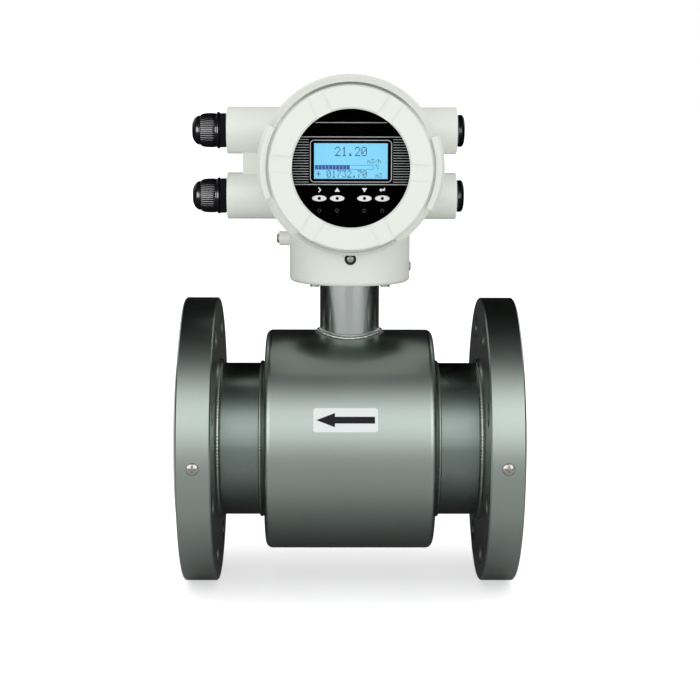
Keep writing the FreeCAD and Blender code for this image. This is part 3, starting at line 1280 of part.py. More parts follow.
def plug(prefix, rise):
    """Domed blanking plug with a hexagon socket, and its washer, in one right port."""
    place = ("right_port_end", "port_offset", f"head_height + {rise}")
    entry = "(port_bore_radius - entry_clearance)"
    rim = "(plug_washer_thickness + plug_rim_width)"
    dome = [(f"{rim} + plug_dome_height * {math.sin(turn):.4f}",
             f"plug_flat_radius + (plug_head_radius - plug_flat_radius) * {math.cos(turn):.4f}")
            for turn in PLUG_TURNS]
    body = turned_piece(f"{prefix}_plug", [
        ("-plug_thread_length", "0"), ("-plug_thread_length", f"{entry} - 1"),
        ("1 - plug_thread_length", entry), ("plug_washer_thickness", entry),
        ("plug_washer_thickness", "plug_head_radius")] + dome + [
        (f"{rim} + plug_dome_height", "0")], place, TO_RIGHT)
    socket = hexagon(body, "SocketOutline", "YZ", ("0", "0"), "plug_socket_width",
                     f"{rim} + plug_dome_height")
    pocket(body, "Socket", socket, "plug_socket_depth")
    turned_piece(f"{prefix}_plug_washer", (
        ("0.05", "port_bore_radius + 0.1"), ("0.05", "plug_head_radius - 0.6"),
        ("plug_washer_thickness - 0.05", "plug_head_radius - 0.6"),
        ("plug_washer_thickness - 0.05", "port_bore_radius + 0.1")), place, TO_RIGHT)


# ---- the whole meter ----------------------------------------------------------------------------


def build_sensor():
    measuring_tube()
    flange("outlet_flange", "-")
    flange("inlet_flange", "")
    tube_liner()
    earth_screws()
    coil_housing()
    upside_down = Rotation(Vector(1, 0, 0), 180)
    for prefix, turn in (("upper", Rotation()), ("lower", upside_down)):
        saddle_coil(f"{prefix}_coil", turn)
        pole_shoe(f"{prefix}_pole_shoe", turn)
    magnetic_yoke()
    electrode("front_electrode", TO_FRONT)
    electrode("rear_electrode", TO_BACK)
    electrode_bushes()
    electrode_nuts()
    flow_arrow_label()
    flow_arrow_print()


def build_neck():
    neck_stem()
    neck_gasket()
    neck_screws()
    lead_grommet()
    sensor_lead()


def build_head():
    converter_housing()
    front_cover()
    rear_cover()
    cover_seal("front_cover_seal", "-")
    cover_seal("rear_cover_seal", "")
    window_pieces()
    electronics()
    terminal_block()
    terminal_screws()
    lock_seat = "lock_seat_depth - base_radius - lock_boss_proud"
    small_screw("cover_lock_screw", ("0", lock_seat, "head_height - lock_boss_drop"), TO_FRONT)
    small_screw("housing_side_screw", ("base_radius", "0", "head_height - side_screw_drop"),
                TO_RIGHT, "side_screw_depth", "side_head_height")
    small_screw("earth_terminal_screw",
                ("-base_radius - earth_boss_proud", "0", "head_height - earth_boss_drop"), TO_LEFT)
    for prefix, rise in (("upper", "port_pitch / 2"), ("lower", "-port_pitch / 2")):
        gland(prefix, rise)
        plug(prefix, rise)


def check_and_export():
    doc.recompute()
    for item in doc.Objects:
        if {"Invalid", "Error"} & set(item.State):
            raise RuntimeError(f"{item.Label} ({item.Name}) failed: {item.State}")
    for item in sub_parts:
        if item.Shape.isNull() or not item.Shape.isValid() or not item.Shape.Solids:
            raise RuntimeError(f"{item.Label} has no valid solid")
    os.makedirs("parts", exist_ok=True)
    for item in sub_parts:
        item.Shape.exportStep(f"parts/{item.Label}.step")
        print(f"{item.Label:24s} {len(item.Shape.Solids)} solid(s) {item.Shape.Volume:12.1f} mm3")


build_sensor()
build_neck()
build_head()
check_and_export()
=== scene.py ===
"""Looks of an electromagnetic flow meter: finishes, welds, display face, fittings and studio.

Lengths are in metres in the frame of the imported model: X along the bore, Y to the back, Z up the neck.
"""

from __future__ import annotations

import json
import logging
import math
from dataclasses import dataclass
from enum import Enum

import bpy
import numpy as np
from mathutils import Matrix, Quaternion, Vector

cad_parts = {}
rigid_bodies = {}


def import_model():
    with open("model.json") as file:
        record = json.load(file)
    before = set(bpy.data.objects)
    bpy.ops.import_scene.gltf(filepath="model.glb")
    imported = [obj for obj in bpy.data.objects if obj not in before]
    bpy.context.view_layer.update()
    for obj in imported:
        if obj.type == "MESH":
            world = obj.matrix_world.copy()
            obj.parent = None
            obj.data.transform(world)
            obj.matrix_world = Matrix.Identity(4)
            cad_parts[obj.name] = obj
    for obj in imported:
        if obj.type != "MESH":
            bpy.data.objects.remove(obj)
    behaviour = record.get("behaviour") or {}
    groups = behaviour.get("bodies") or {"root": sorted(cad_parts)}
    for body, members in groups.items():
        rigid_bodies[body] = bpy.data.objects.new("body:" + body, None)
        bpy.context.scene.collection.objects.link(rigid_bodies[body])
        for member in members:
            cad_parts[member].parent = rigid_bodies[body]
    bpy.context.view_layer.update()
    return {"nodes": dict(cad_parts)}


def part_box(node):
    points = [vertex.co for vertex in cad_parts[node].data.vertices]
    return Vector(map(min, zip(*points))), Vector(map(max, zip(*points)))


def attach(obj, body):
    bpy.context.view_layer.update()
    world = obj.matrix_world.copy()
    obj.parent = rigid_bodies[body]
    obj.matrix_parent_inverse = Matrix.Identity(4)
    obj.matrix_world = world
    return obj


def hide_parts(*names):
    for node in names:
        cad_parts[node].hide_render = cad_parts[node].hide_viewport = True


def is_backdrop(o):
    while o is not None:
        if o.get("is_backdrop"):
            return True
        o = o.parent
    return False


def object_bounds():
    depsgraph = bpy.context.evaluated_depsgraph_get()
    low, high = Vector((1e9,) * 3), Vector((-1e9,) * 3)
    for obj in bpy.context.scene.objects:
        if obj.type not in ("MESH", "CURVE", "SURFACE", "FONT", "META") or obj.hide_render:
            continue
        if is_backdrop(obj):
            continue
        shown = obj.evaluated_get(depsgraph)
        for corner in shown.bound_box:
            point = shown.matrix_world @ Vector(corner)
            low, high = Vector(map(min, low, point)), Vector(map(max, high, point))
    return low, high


LOG = logging.getLogger("flow_meter")
MM = 0.001
Pair = tuple[float, float]
Triple = tuple[float, float, float]
Quad = tuple[float, float, float, float]
Shape = tuple[np.ndarray, list[list[int]]]


# ---- shapes ----


def quad_rows(rows: int, columns: int, wrap_rows: bool, wrap_columns: bool) -> np.ndarray:
    """Quads between neighbouring points of a grid, the last row or column joined to the first if wrapped.

    Args:
        rows: number of grid rows.
        columns: number of grid columns.
        wrap_rows: whether the last row meets the first.
        wrap_columns: whether the last column meets the first.

    Returns:
        An (n, 4) array of point numbers.
    """
    row = np.arange(rows if wrap_rows else rows - 1)[:, None]
    column = np.arange(columns if wrap_columns else columns - 1)[None, :]
    next_row, next_column = (row + 1) % rows, (column + 1) % columns
    corners = (row * columns + column, row * columns + next_column,
               next_row * columns + next_column, next_row * columns + column)
    return np.stack([np.broadcast_to(c, (row.size, column.size)).ravel() for c in corners], axis=1)


def signed_volume(points: np.ndarray, faces: list[list[int]]) -> float:
    """Volume inside a closed mesh: a sixth of the triple products of each face's fan of triangles.

    Args:
        points: the (n, 3) vertices.
        faces: vertex numbers of each face.

    Returns:
        The volume, negative where the faces point inwards.
    """
    fans = [(face[0], face[i], face[i + 1]) for face in faces for i in range(1, len(face) - 1)]
    a, b, c = (points[np.array(fans)[:, i]] for i in range(3))
    return float(np.einsum("ij,ij->i", a, np.cross(b, c)).sum() / 6)


def make_piece(name: str, shape: Shape, body: str, material: bpy.types.Material,
               smooth: bool = True) -> bpy.types.Object:
    """Makes a closed mesh whose faces point outwards, dresses it and lets it ride on a body.

    Args:
        name: the piece's name.
        shape: its vertices and faces.
        body: the body it moves with.
        material: its material.
        smooth: whether its faces are shaded smooth.

    Returns:
        The new object.
    """
    points, faces = shape
    if signed_volume(points, faces) < 0:
        faces = [face[::-1] for face in faces]
    mesh = bpy.data.meshes.new(name)
    mesh.from_pydata(points, [], faces)
    mesh.validate()
    mesh.polygons.foreach_set("use_smooth", np.full(len(mesh.polygons), smooth))
    mesh.materials.append(material)
    piece = bpy.data.objects.new(name, mesh)
    bpy.context.scene.collection.objects.link(piece)
    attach(piece, body)
    LOG.info("%s: %d faces on %s", name, len(mesh.polygons), body)
    return piece


def grid(points: np.ndarray) -> Shape:
    """Vertices and faces of a (rows, columns, 3) grid of points that closes on itself both ways."""
    return points.reshape(-1, 3), quad_rows(*points.shape[:2], True, True).tolist()


def slabs(boxes: np.ndarray, front: float, thickness: float) -> Shape:
    """Thin upright plates: each has its eight corners picked from its low and high corner.

    Args:
        boxes: (n, 4) array of left, bottom, right and top edges.
        front: Y of their front.
        thickness: depth towards +Y.

    Returns:
        The vertices and the faces.
    """
    count = len(boxes)
    lows = np.stack([boxes[:, 0], np.full(count, front), boxes[:, 1]], axis=1)
    highs = np.stack([boxes[:, 2], np.full(count, front + thickness), boxes[:, 3]], axis=1)
    pick = np.array([[x, y, z] for x in (0, 1) for y in (0, 1) for z in (0, 1)])
    corners = np.where(pick[None], highs[:, None], lows[:, None])
    box = np.array([[0, 1, 3, 2], [4, 6, 7, 5], [0, 4, 5, 1], [2, 3, 7, 6], [0, 2, 6, 4], [1, 5, 7, 3]])
    faces = box[None] + 8 * np.arange(count)[:, None, None]
    return corners.reshape(-1, 3), faces.reshape(-1, 4).tolist()


def upright(*loops: tuple[np.ndarray, float]) -> np.ndarray:
    """Vertices of (n, 2) outlines in the XZ plane, each given with its Y, one after the other."""
    return np.concatenate([np.stack([loop[:, 0], np.full(len(loop), y), loop[:, 1]], axis=1)
                           for loop, y in loops])


def ring_between(outer: np.ndarray, inner: np.ndarray, front: float, thickness: float) -> Shape:
    """A flat frame between two matching closed outlines in the XZ plane: four loops joined in turn.

    Args:
        outer: (n, 2) outer outline.
        inner: (n, 2) inner outline with as many points.
        front: Y of the front.
        thickness: depth towards +Y.

    Returns:
        The vertices and the faces.
    """
    points = upright((outer, front), (inner, front), (inner, front + thickness), (outer, front + thickness))
    return points, quad_rows(4, len(outer), True, True).tolist()


def plate(outline: np.ndarray, front: float, thickness: float) -> Shape:
    """A flat plate of a closed outline in the XZ plane: two copies of it, joined round their edge.

    Args:
        outline: (n, 2) outline.
        front: Y of the front.
        thickness: depth towards +Y.

    Returns:
        The vertices and the faces.
    """
    count = len(outline)
    faces = quad_rows(2, count, False, True).tolist()
    faces += [list(range(count))[::-1], list(range(count, 2 * count))]
    return upright((outline, front), (outline, front + thickness)), faces


def circle(radius: float, centre: Pair, turn: np.ndarray) -> np.ndarray:
    """The (n, 2) points of a circle in the XZ plane, at the angles turn from the X axis."""
    return np.stack([centre[0] + radius * np.cos(turn), centre[1] + radius * np.sin(turn)], axis=1)


def rounded_outline(width: float, height: float, radius: float, centre: Pair,
                    steps: int = 8) -> np.ndarray:
    """Rectangle with quarter circles at its corners.

    Args:
        width: full width.
        height: full height.
        radius: corner radius.
        centre: middle as (x, z).
        steps: points on each corner.

    Returns:
        The (n, 2) outline, anticlockwise.
    """
    turn = np.linspace(0, math.pi / 2, steps)
    across, up = width / 2 - radius, height / 2 - radius
    return np.concatenate([
        circle(radius, (centre[0] + sx * across, centre[1] + sz * up), turn + quarter * math.pi / 2)
        for quarter, (sx, sz) in enumerate(((1, 1), (-1, 1), (-1, -1), (1, -1)))])


# ---- finishes ----


class Bench:
    """Adds nodes to one node tree and joins them."""

    def __init__(self, tree: bpy.types.NodeTree) -> None:
        """Keeps the tree."""
        self.tree = tree

    def add(self, kind: str, values: dict[str | int, object] | None = None,
            **settings: object) -> bpy.types.Node:
        """Adds a node and fills its sockets.

        Args:
            kind: the node's type.
            values: socket name or number to a value, or to an output socket to join.
            settings: the node's own properties.

        Returns:
            The new node.
        """
        node = self.tree.nodes.new(kind)
        for key, setting in settings.items():
            setattr(node, key, setting)
        self.fill(node, values or {})
        return node

    def fill(self, node: bpy.types.Node, values: dict[str | int, object]) -> None:
        """Fills a node's inputs.

        Args:
            node: the node.
            values: socket name or number to a value, or to an output socket to join.
        """
        for key, value in values.items():
            if isinstance(value, bpy.types.NodeSocket):
                self.tree.links.new(value, node.inputs[key])
            else:
                node.inputs[key].default_value = value

    def math(self, operation: str, *values: object) -> bpy.types.NodeSocket:
        """The result of a Math node, whose inputs are numbers or output sockets."""
        return self.add("ShaderNodeMath", dict(enumerate(values)), operation=operation).outputs[0]

    def spread(self, value: bpy.types.NodeSocket, low: float, high: float, to_low: object,
               to_high: object) -> bpy.types.NodeSocket:
        """The value carried from one range to another, held at the ends.

        Args:
            value: the socket to carry over.
            low: where the first range starts.
            high: where it ends.
            to_low: the result at low, a number or a socket.
            to_high: the result at high, a number or a socket.

        Returns:
            The result's socket.
        """
        node = self.add("ShaderNodeMapRange", {0: value, 1: low, 2: high, 3: to_low, 4: to_high})
        return node.outputs[0]

    def either_ray(self, first: str, second: str) -> bpy.types.NodeSocket:
        """1 for two kinds of ray, such as "Camera" and "Transmission", and 0 for the others."""
        path = self.add("ShaderNodeLightPath")
        return self.math("MAXIMUM", path.outputs[f"Is {first} Ray"], path.outputs[f"Is {second} Ray"])


def new_material(name: str) -> tuple[bpy.types.Material, Bench, bpy.types.Node]:
    """A node material.

    Args:
        name: the material's name.

    Returns:
        The material, a bench on its nodes and its main shader.
    """
    material = bpy.data.materials.new(name)
    material.use_nodes = True
    return material, Bench(material.node_tree), material.node_tree.nodes["Principled BSDF"]


def grain_group() -> bpy.types.NodeTree:
    """Fine surface grain: a coarse and a fine noise on Object coordinates, as height, tone and patches."""
    group = bpy.data.node_groups.new("surface_grain", "ShaderNodeTree")
    for label, default in (("Coarse Scale", 150.0), ("Fine Scale", 1500.0), ("Fine Share", 0.4)):
        socket = group.interface.new_socket(label, in_out="INPUT", socket_type="NodeSocketFloat")
        socket.default_value = default
    for label in ("Height", "Tone", "Patches"):
        group.interface.new_socket(label, in_out="OUTPUT", socket_type="NodeSocketFloat")
    bench = Bench(group)
    given, out = bench.add("NodeGroupInput"), bench.add("NodeGroupOutput")
    place = bench.add("ShaderNodeTexCoord").outputs["Object"]
    coarse = bench.add("ShaderNodeTexNoise", {"Vector": place, "Scale": given.outputs[0], "Detail": 2.0})
    fine = bench.add("ShaderNodeTexNoise", {"Vector": place, "Scale": given.outputs[1], "Detail": 1.0})
    wide = bench.add("ShaderNodeTexNoise", {"Vector": place, "Scale": 14.0, "Detail": 3.0})
    height = bench.add("ShaderNodeMix", {0: given.outputs[2], 2: coarse.outputs[0], 3: fine.outputs[0]})
    bench.fill(out, {"Height": height.outputs[0],
                     "Tone": bench.spread(fine.outputs[0], 0.3, 0.7, 0.0, 1.0),
                     "Patches": bench.spread(wide.outputs[0], 0.35, 0.65, 0.0, 1.0)})
    return group


@dataclass(frozen=True)
class Finish:
    """A painted, moulded, rubber or metal surface with its grain."""

    colour: Triple
    roughness: float
    metallic: float = 0.0
    tone: float = 0.06
    patch: float = 0.04
    coarse: float = 150.0
    fine: float = 1500.0
    fine_share: float = 0.4
    bump: float = 0.1
    depth: float = 0.0001
    coat: float = 0.0
    coat_roughness: float = 0.1
    glow: float = 0.0
    level: float = 0.5

    def material(self, name: str, grain: bpy.types.NodeTree) -> bpy.types.Material:
        """Builds the material: grain lightens and darkens the colour, shifts roughness and bumps it.

        Args:
            name: the material's name.
            grain: the surface grain group.

        Returns:
            The new material.
        """
        material, bench, shader = new_material(name)
        given = bench.add("ShaderNodeGroup", {}, node_tree=grain)
        bench.fill(given, {"Coarse Scale": self.coarse, "Fine Scale": self.fine,
                           "Fine Share": self.fine_share})
        dark, light = (tuple(min(c * (1 + side * self.tone), 1.0) for c in self.colour) + (1.0,)
                       for side in (-1, 1))
        mixed = bench.add("ShaderNodeMix", {0: given.outputs["Tone"], 6: dark, 7: light}, data_type="RGBA")
        rough = bench.spread(given.outputs["Patches"], 0.0, 1.0, self.roughness - self.patch,
                             self.roughness + self.patch)
        bump = bench.add("ShaderNodeBump", {"Height": given.outputs["Height"], "Strength": self.bump,
                                            "Distance": self.depth})
        bench.fill(shader, {
            "Base Color": mixed.outputs[2], "Roughness": rough, "Normal": bump.outputs[0],
            "Metallic": self.metallic, "Specular IOR Level": self.level, "Coat Weight": self.coat,
            "Coat Roughness": self.coat_roughness})
        if self.glow:
            bench.fill(shader, {"Emission Color": mixed.outputs[2], "Emission Strength": self.glow})
        return material


@dataclass(frozen=True)
class ClearGlass:
    """Clear, coated glass without reflections, which lets light and shadow rays through."""

    colour: Triple = (0.97, 0.99, 0.985)
    roughness: float = 0.0
    ior: float = 1.0

    def material(self, name: str, grain: bpy.types.NodeTree) -> bpy.types.Material:
        """Builds the glass material; shadow and diffuse rays pass it straight.

        Args:
            name: the material's name.
            grain: unused by plain glass, taken for the same call as the other finishes.

        Returns:
            The new material.
        """
        material, bench, shader = new_material(name)
        bench.fill(shader, {"Base Color": (*self.colour, 1.0), "Roughness": self.roughness,
                            "IOR": self.ior, "Transmission Weight": 1.0})
        through = bench.add("ShaderNodeBsdfTransparent")
        mixed = bench.add("ShaderNodeMixShader", {0: bench.either_ray("Shadow", "Diffuse"),
                                                  1: shader.outputs[0], 2: through.outputs[0]})
        bench.fill(material.node_tree.nodes["Material Output"], {"Surface": mixed.outputs[0]})
        return material


FINISHES: dict[str, Finish | ClearGlass] = {
    "meter_paint": Finish((0.342, 0.390, 0.365), 0.29, metallic=1.0, patch=0.015, coarse=420.0,
                          fine=2600.0, bump=0.08, depth=0.00005),
    "steel": Finish((0.445, 0.472, 0.46), 0.20, metallic=1.0, tone=0.05, patch=0.02, coarse=240.0,
                    fine=1800.0, bump=0.05, depth=0.00004),
    "bright_steel": Finish((0.42, 0.41, 0.385), 0.24, metallic=1.0, tone=0.05, patch=0.05, fine=2500.0,
                           bump=0.08, depth=0.00003),
    "head_paint": Finish((0.79, 0.81, 0.755), 0.42, tone=0.01, patch=0.05, coarse=520.0, bump=0.14),
    "liner": Finish((0.72, 0.72, 0.70), 0.45, tone=0.03, coarse=90.0, bump=0.05),
    "copper": Finish((0.72, 0.30, 0.16), 0.34, metallic=1.0, tone=0.10, coarse=700.0, bump=0.20),
    "core_steel": Finish((0.30, 0.30, 0.31), 0.42, metallic=1.0, tone=0.08, bump=0.12),
    "insulation": Finish((0.62, 0.55, 0.40), 0.5),
    "label": Finish((0.75, 0.785, 0.79), 0.40, tone=0.01, patch=0.03, bump=0.02),
    "print": Finish((0.012, 0.012, 0.013), 0.42, tone=0.05, bump=0.03, level=0.1),
    "rubber": Finish((0.020, 0.020, 0.021), 0.68, tone=0.10, bump=0.12, level=0.2),
    "cable": Finish((0.05, 0.05, 0.055), 0.50, tone=0.08, bump=0.08),
    "glass": ClearGlass(),
    "panel": Finish((0.0010, 0.0009, 0.0010), 0.5, tone=0.05, patch=0.03, bump=0.0, level=0.0),
    "screen": Finish((0.175, 0.575, 0.83), 0.32, tone=0.015, patch=0.02, coarse=60.0, bump=0.01,
                     glow=0.17),
    "key": Finish((0.80, 0.81, 0.80), 0.42, tone=0.02, bump=0.03),
    "board": Finish((0.02, 0.16, 0.07), 0.40, tone=0.10, coat=0.3, bump=0.06),
    "spacer": Finish((0.75, 0.70, 0.50), 0.30, metallic=1.0, bump=0.04),
    "terminal": Finish((0.05, 0.16, 0.09), 0.45, tone=0.05, bump=0.06),
    "black_nylon": Finish((0.0003, 0.0003, 0.0004), 0.20, tone=0.10, coarse=600.0, bump=0.08,
                          depth=0.00004, level=0.06),
}
PRINTS: dict[str, Finish] = {
    "panel_line": Finish((0.42, 0.42, 0.43), 0.5, tone=0.04, bump=0.02),
    "panel_white": Finish((0.80, 0.80, 0.80), 0.5, tone=0.02, bump=0.02),
    "panel_faint": Finish((0.045, 0.045, 0.045), 0.5, tone=0.02, bump=0.02),
    "lcd_ink": Finish((0.02, 0.07, 0.20), 0.4, tone=0.04, bump=0.01),
    "lcd_bar": Finish((0.008, 0.06, 0.30), 0.4, tone=0.04, bump=0.01),
    "weld": Finish((0.50, 0.51, 0.50), 0.28, metallic=1.0, tone=0.12, patch=0.08, coarse=500.0,
                   bump=0.20, depth=0.00008),
    "dark_weld": Finish((0.35, 0.38, 0.365), 0.30, metallic=1.0, tone=0.12, patch=0.08, coarse=500.0,
                        bump=0.20, depth=0.00008),
    # A darker copy of meter_paint for the measuring tube: painted shade where the flanges and the drum
    # shade the pipe.
    "pipe_paint": Finish((0.215, 0.262, 0.245), 0.27, metallic=1.0, patch=0.015, coarse=420.0,
                         fine=2600.0, bump=0.08, depth=0.00005),
}
# The measuring tube takes the darker copy of the meter paint, a painted shade.
SHADED_SOLIDS: dict[str, str] = {"measuring_tube": "pipe_paint"}


class Finishes:
    """The materials of the object, made once from the finish tables.

    A solid named in the table of shaded solids has the finish given there, a darker copy of its paint that
    is painted shade; every other one that of its own slot.
    """

    def __init__(self) -> None:
        """Builds every material and the group they share."""
        grain = grain_group()
        self.by_name = {name: finish.material(f"{name}_finish", grain)
                        for name, finish in {**FINISHES, **PRINTS}.items()}

    def __getitem__(self, name: str) -> bpy.types.Material:
        """The material of a finish of the two tables."""
        return self.by_name[name]

    def dress(self, nodes: dict[str, bpy.types.Object]) -> None:
        """Gives each solid of the frame its finish.

        Args:
            nodes: the frame's solids by name.
        """
        for name, solid in nodes.items():
            for slot in solid.material_slots:
                # A solid in the shaded table gets the darker copy of its paint: painted shade.
                slot.material = self.by_name[SHADED_SOLIDS.get(name, slot.material.name.split(".")[0])]
            LOG.info("%s dressed", name)


# ---- the object ----


@dataclass
class Welds:
    """Beaded welds round the pipe at both flanges and at both ends of the drum, and the neck's weld.

    A seam's ripple is its fast count, its share, its slow count and the share of that.
    """

    finishes: Finishes
    flange_seam: float = 99.4 * MM
    flange_proud: float = 1.0 * MM
    flange_bead: float = 1.8 * MM
    drum_seam: float = 67.6 * MM
    drum_proud: float = 0.6 * MM
    drum_bead: float = 1.2 * MM
    neck: float = 22.8 * MM
    saddle_up: float = 3.0 * MM
    saddle_out: float = 3.4 * MM
    saddle_hollow: float = 0.28
    sunk: float = 0.8 * MM
    neck_seam: float = 24.2 * MM
    neck_bead: float = 0.75 * MM
    neck_bead_up: float = 1.0 * MM
    neck_bead_sway: float = 0.22 * MM
    ring_ripple: Quad = (75, 0.10, 37, 0.03)
    saddle_ripple: Quad = (44, 0.09, 13, 0.03)
    neck_bead_ripple: Quad = (38, 0.30, 17, 0.10)
    neck_bead_turns: int = 29
    fillet_steps: int = 9
    steps: int = 900
    round_steps: int = 14

    def turns(self) -> tuple[np.ndarray, np.ndarray]:
        """Angles along a seam as a column, and angles round its bead as a row."""
        return (np.linspace(0, 2 * math.pi, self.steps, endpoint=False)[:, None],
                np.linspace(0, 2 * math.pi, self.round_steps, endpoint=False)[None, :])

    def size(self, along: np.ndarray, ripple: Quad) -> np.ndarray:
        """A seam's size at each turn t: 1 + share * |cos(fast * t)| + slow_share * sin(slow * t)."""
        fast, share, slow, slow_share = ripple
        return 1 + share * np.abs(np.cos(along * fast)) + slow_share * np.sin(along * slow)

    def ring(self, name: str, across: float, radius: float, bead: float) -> None:
        """A ring of weld metal: a circle of the bead's radius, its size rippling along the seam.

        Args:
            name: the piece's name.
            across: X of the seam.
            radius: radius of the seam.
            bead: radius of the bead.
        """
        along, round_ = self.turns()
        size = bead * self.size(along, self.ring_ripple)
        x = across + size * np.cos(round_)
        distance = radius + size * np.sin(round_)
        points = np.stack([x, distance * np.sin(along), distance * np.cos(along)], axis=2)
        make_piece(name, grid(points), "meter", self.finishes["dark_weld"])

    def saddle(self, drum: float) -> None:
        """The weld where the neck stands on the drum: a hollow fillet that follows the drum's curve.

        At each turn round the neck the drum's surface lies at the height root(drum^2 - y^2), and the
        fillet is a quadratic curve from the neck's side to the drum, its size rippling along the seam.

        Args:
            drum: radius of the drum.
        """
        along = self.turns()[0]
        size = self.size(along, self.saddle_ripple)
        part = np.linspace(0, 1, self.fillet_steps)[None, :]
        up, out = self.saddle_up * size, self.saddle_out * size
        bend = 2 * (1 - part) * part * self.saddle_hollow
        deep = 0 * along - self.sunk
        rise = np.concatenate([up * ((1 - part) ** 2 + bend), deep, deep, up], axis=1)
        reach = np.concatenate([out * (part ** 2 + bend), out, deep, deep], axis=1)
        distance = self.neck + reach
        depth = distance * np.sin(along)
        height = np.sqrt(drum ** 2 - depth ** 2) + rise
        points = np.stack([distance * np.cos(along), depth, height], axis=2)
        make_piece("neck_weld", grid(points), "meter", self.finishes["meter_paint"])

    def seam(self, drum: float) -> None:
        """The bright bead on the neck's fillet: its height root(drum^2 - y^2) follows the drum.

        Args:
            drum: radius of the drum.
        """
        along, round_ = self.turns()
        size = self.neck_bead * self.size(along, self.neck_bead_ripple)
        sway = self.neck_bead_sway * np.sin(along * self.neck_bead_turns)
        across = self.neck_seam + sway + size * np.cos(round_)
        depth = across * np.sin(along)
        height = np.sqrt(drum ** 2 - depth ** 2) + self.neck_bead_up + size * np.sin(round_)
        points = np.stack([across * np.cos(along), depth, height], axis=2)
        make_piece("neck_weld_bead", grid(points), "meter", self.finishes["weld"])

    def build(self) -> None:
        """Builds the four ring welds, the neck's fillet and its bead."""
        pipe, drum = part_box("measuring_tube")[1].z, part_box("coil_housing")[1].z
        for side, label in ((-1, "outlet"), (1, "inlet")):
            self.ring(f"{label}_flange_weld", side * self.flange_seam, pipe + self.flange_proud,
                      self.flange_bead)
            self.ring(f"{label}_drum_weld", side * self.drum_seam, pipe + self.drum_proud, self.drum_bead)
        self.saddle(drum)
        self.seam(drum)


@dataclass
class GlandNuts:
    """The finely ribbed, domed nuts of the two cable glands.

    The profile lists distance from the port and radius, both in mm, and the share of rib.
    """

    finishes: Finishes
    thread: float = 10.0 * MM
    rib_count: int = 44
    rib_steps: int = 8
    rib_depth: float = 0.36 * MM
    profile: tuple[Triple, ...] = (
        (5.5, 8.9, 0), (5.5, 13.3, 0), (5.75, 13.75, 0), (6.4, 14.0, 0), (7.1, 13.85, 0), (7.5, 13.4, 0),
        (7.8, 12.9, 0), (8.3, 12.6, 0), (8.8, 12.7, 0), (9.2, 12.95, 1), (11.0, 13.05, 1),
        (13.5, 13.05, 1), (15.5, 12.95, 1), (17.2, 12.75, 1), (18.6, 12.4, 1), (19.6, 11.95, 1),
        (20.2, 11.5, 1), (20.45, 11.0, 0), (20.9, 10.9, 0), (21.2, 11.15, 0), (22.0, 10.95, 0),
        (22.8, 10.6, 0), (23.6, 10.05, 0), (24.4, 9.3, 0), (25.1, 8.4, 0), (25.7, 7.3, 0),
        (26.2, 6.2, 0), (26.4, 5.6, 0), (26.3, 5.15, 0), (25.9, 5.0, 0), (20.6, 5.0, 0),
        (20.4, 6.6, 0), (18.6, 6.6, 0), (16.0, 8.9, 0))

    def build(self) -> None:
        """Turns the profile about each gland's axis; the radius ripples round it where there are ribs.

        The radius at the turn t is radius - share * depth * (1 - |sin(count * t / 2)|)^2, which
        gives broad crests between narrow grooves.
        """
        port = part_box("upper_gland_body")[1].x - self.thread
        around = np.linspace(0, 2 * math.pi, self.rib_count * self.rib_steps, endpoint=False)[None, :]
        along, radius, share = (np.array(self.profile)[:, i][:, None] for i in range(3))
        wave = np.abs(np.sin(self.rib_count * around / 2))
        distance = radius * MM - share * self.rib_depth * (1 - wave) ** 2
        for level in ("upper", "lower"):
            low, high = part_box(f"{level}_gland_nut")
            y, z = (low.y + high.y) / 2, (low.z + high.z) / 2
            points = np.stack([port - along * MM + 0 * distance, y + distance * np.sin(around),
                               z + distance * np.cos(around)], axis=2)
            nut = make_piece(f"{level}_gland_nut_ribbed", grid(points), f"{level}_gland_nut",
                             self.finishes["black_nylon"])
            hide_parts(f"{level}_gland_nut")


@dataclass
class CoverGroove:
    """The floor of the groove round the front cover's face: shallow at the sides, deep at the top."""

    finishes: Finishes
    inner: float = 59.6 * MM
    outer: float = 62.0 * MM
    front: float = -64.6 * MM
    top_drop: float = 6.5 * MM
    top_start: float = 0.35
    top_curve: float = 1.3
    back: float = -52.0 * MM
    steps: int = 240

    def build(self) -> None:
        """Makes the ring: at each turn from the top its front lies deeper by drop * share^curve.

        The share is 1 at the top and falls to 0 where the cosine of the turn is that of the start.
        """
        low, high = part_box("front_cover_seal")
        middle, turn = (low.z + high.z) / 2, np.linspace(0, 2 * math.pi, self.steps, endpoint=False)
        share = np.clip((np.cos(turn) - self.top_start) / (1 - self.top_start), 0.0, 1.0)
        front = self.front + self.top_drop * share ** self.top_curve
        back = np.full(self.steps, self.back)
        loops = [(self.outer, front), (self.inner, front), (self.inner, back), (self.outer, back)]
        points = np.stack([np.stack([radius * np.sin(turn), depth, middle + radius * np.cos(turn)], axis=1)
                           for radius, depth in loops])
        make_piece("front_cover_groove_floor", grid(points), "front_cover",
                   self.finishes["head_paint"], smooth=False)


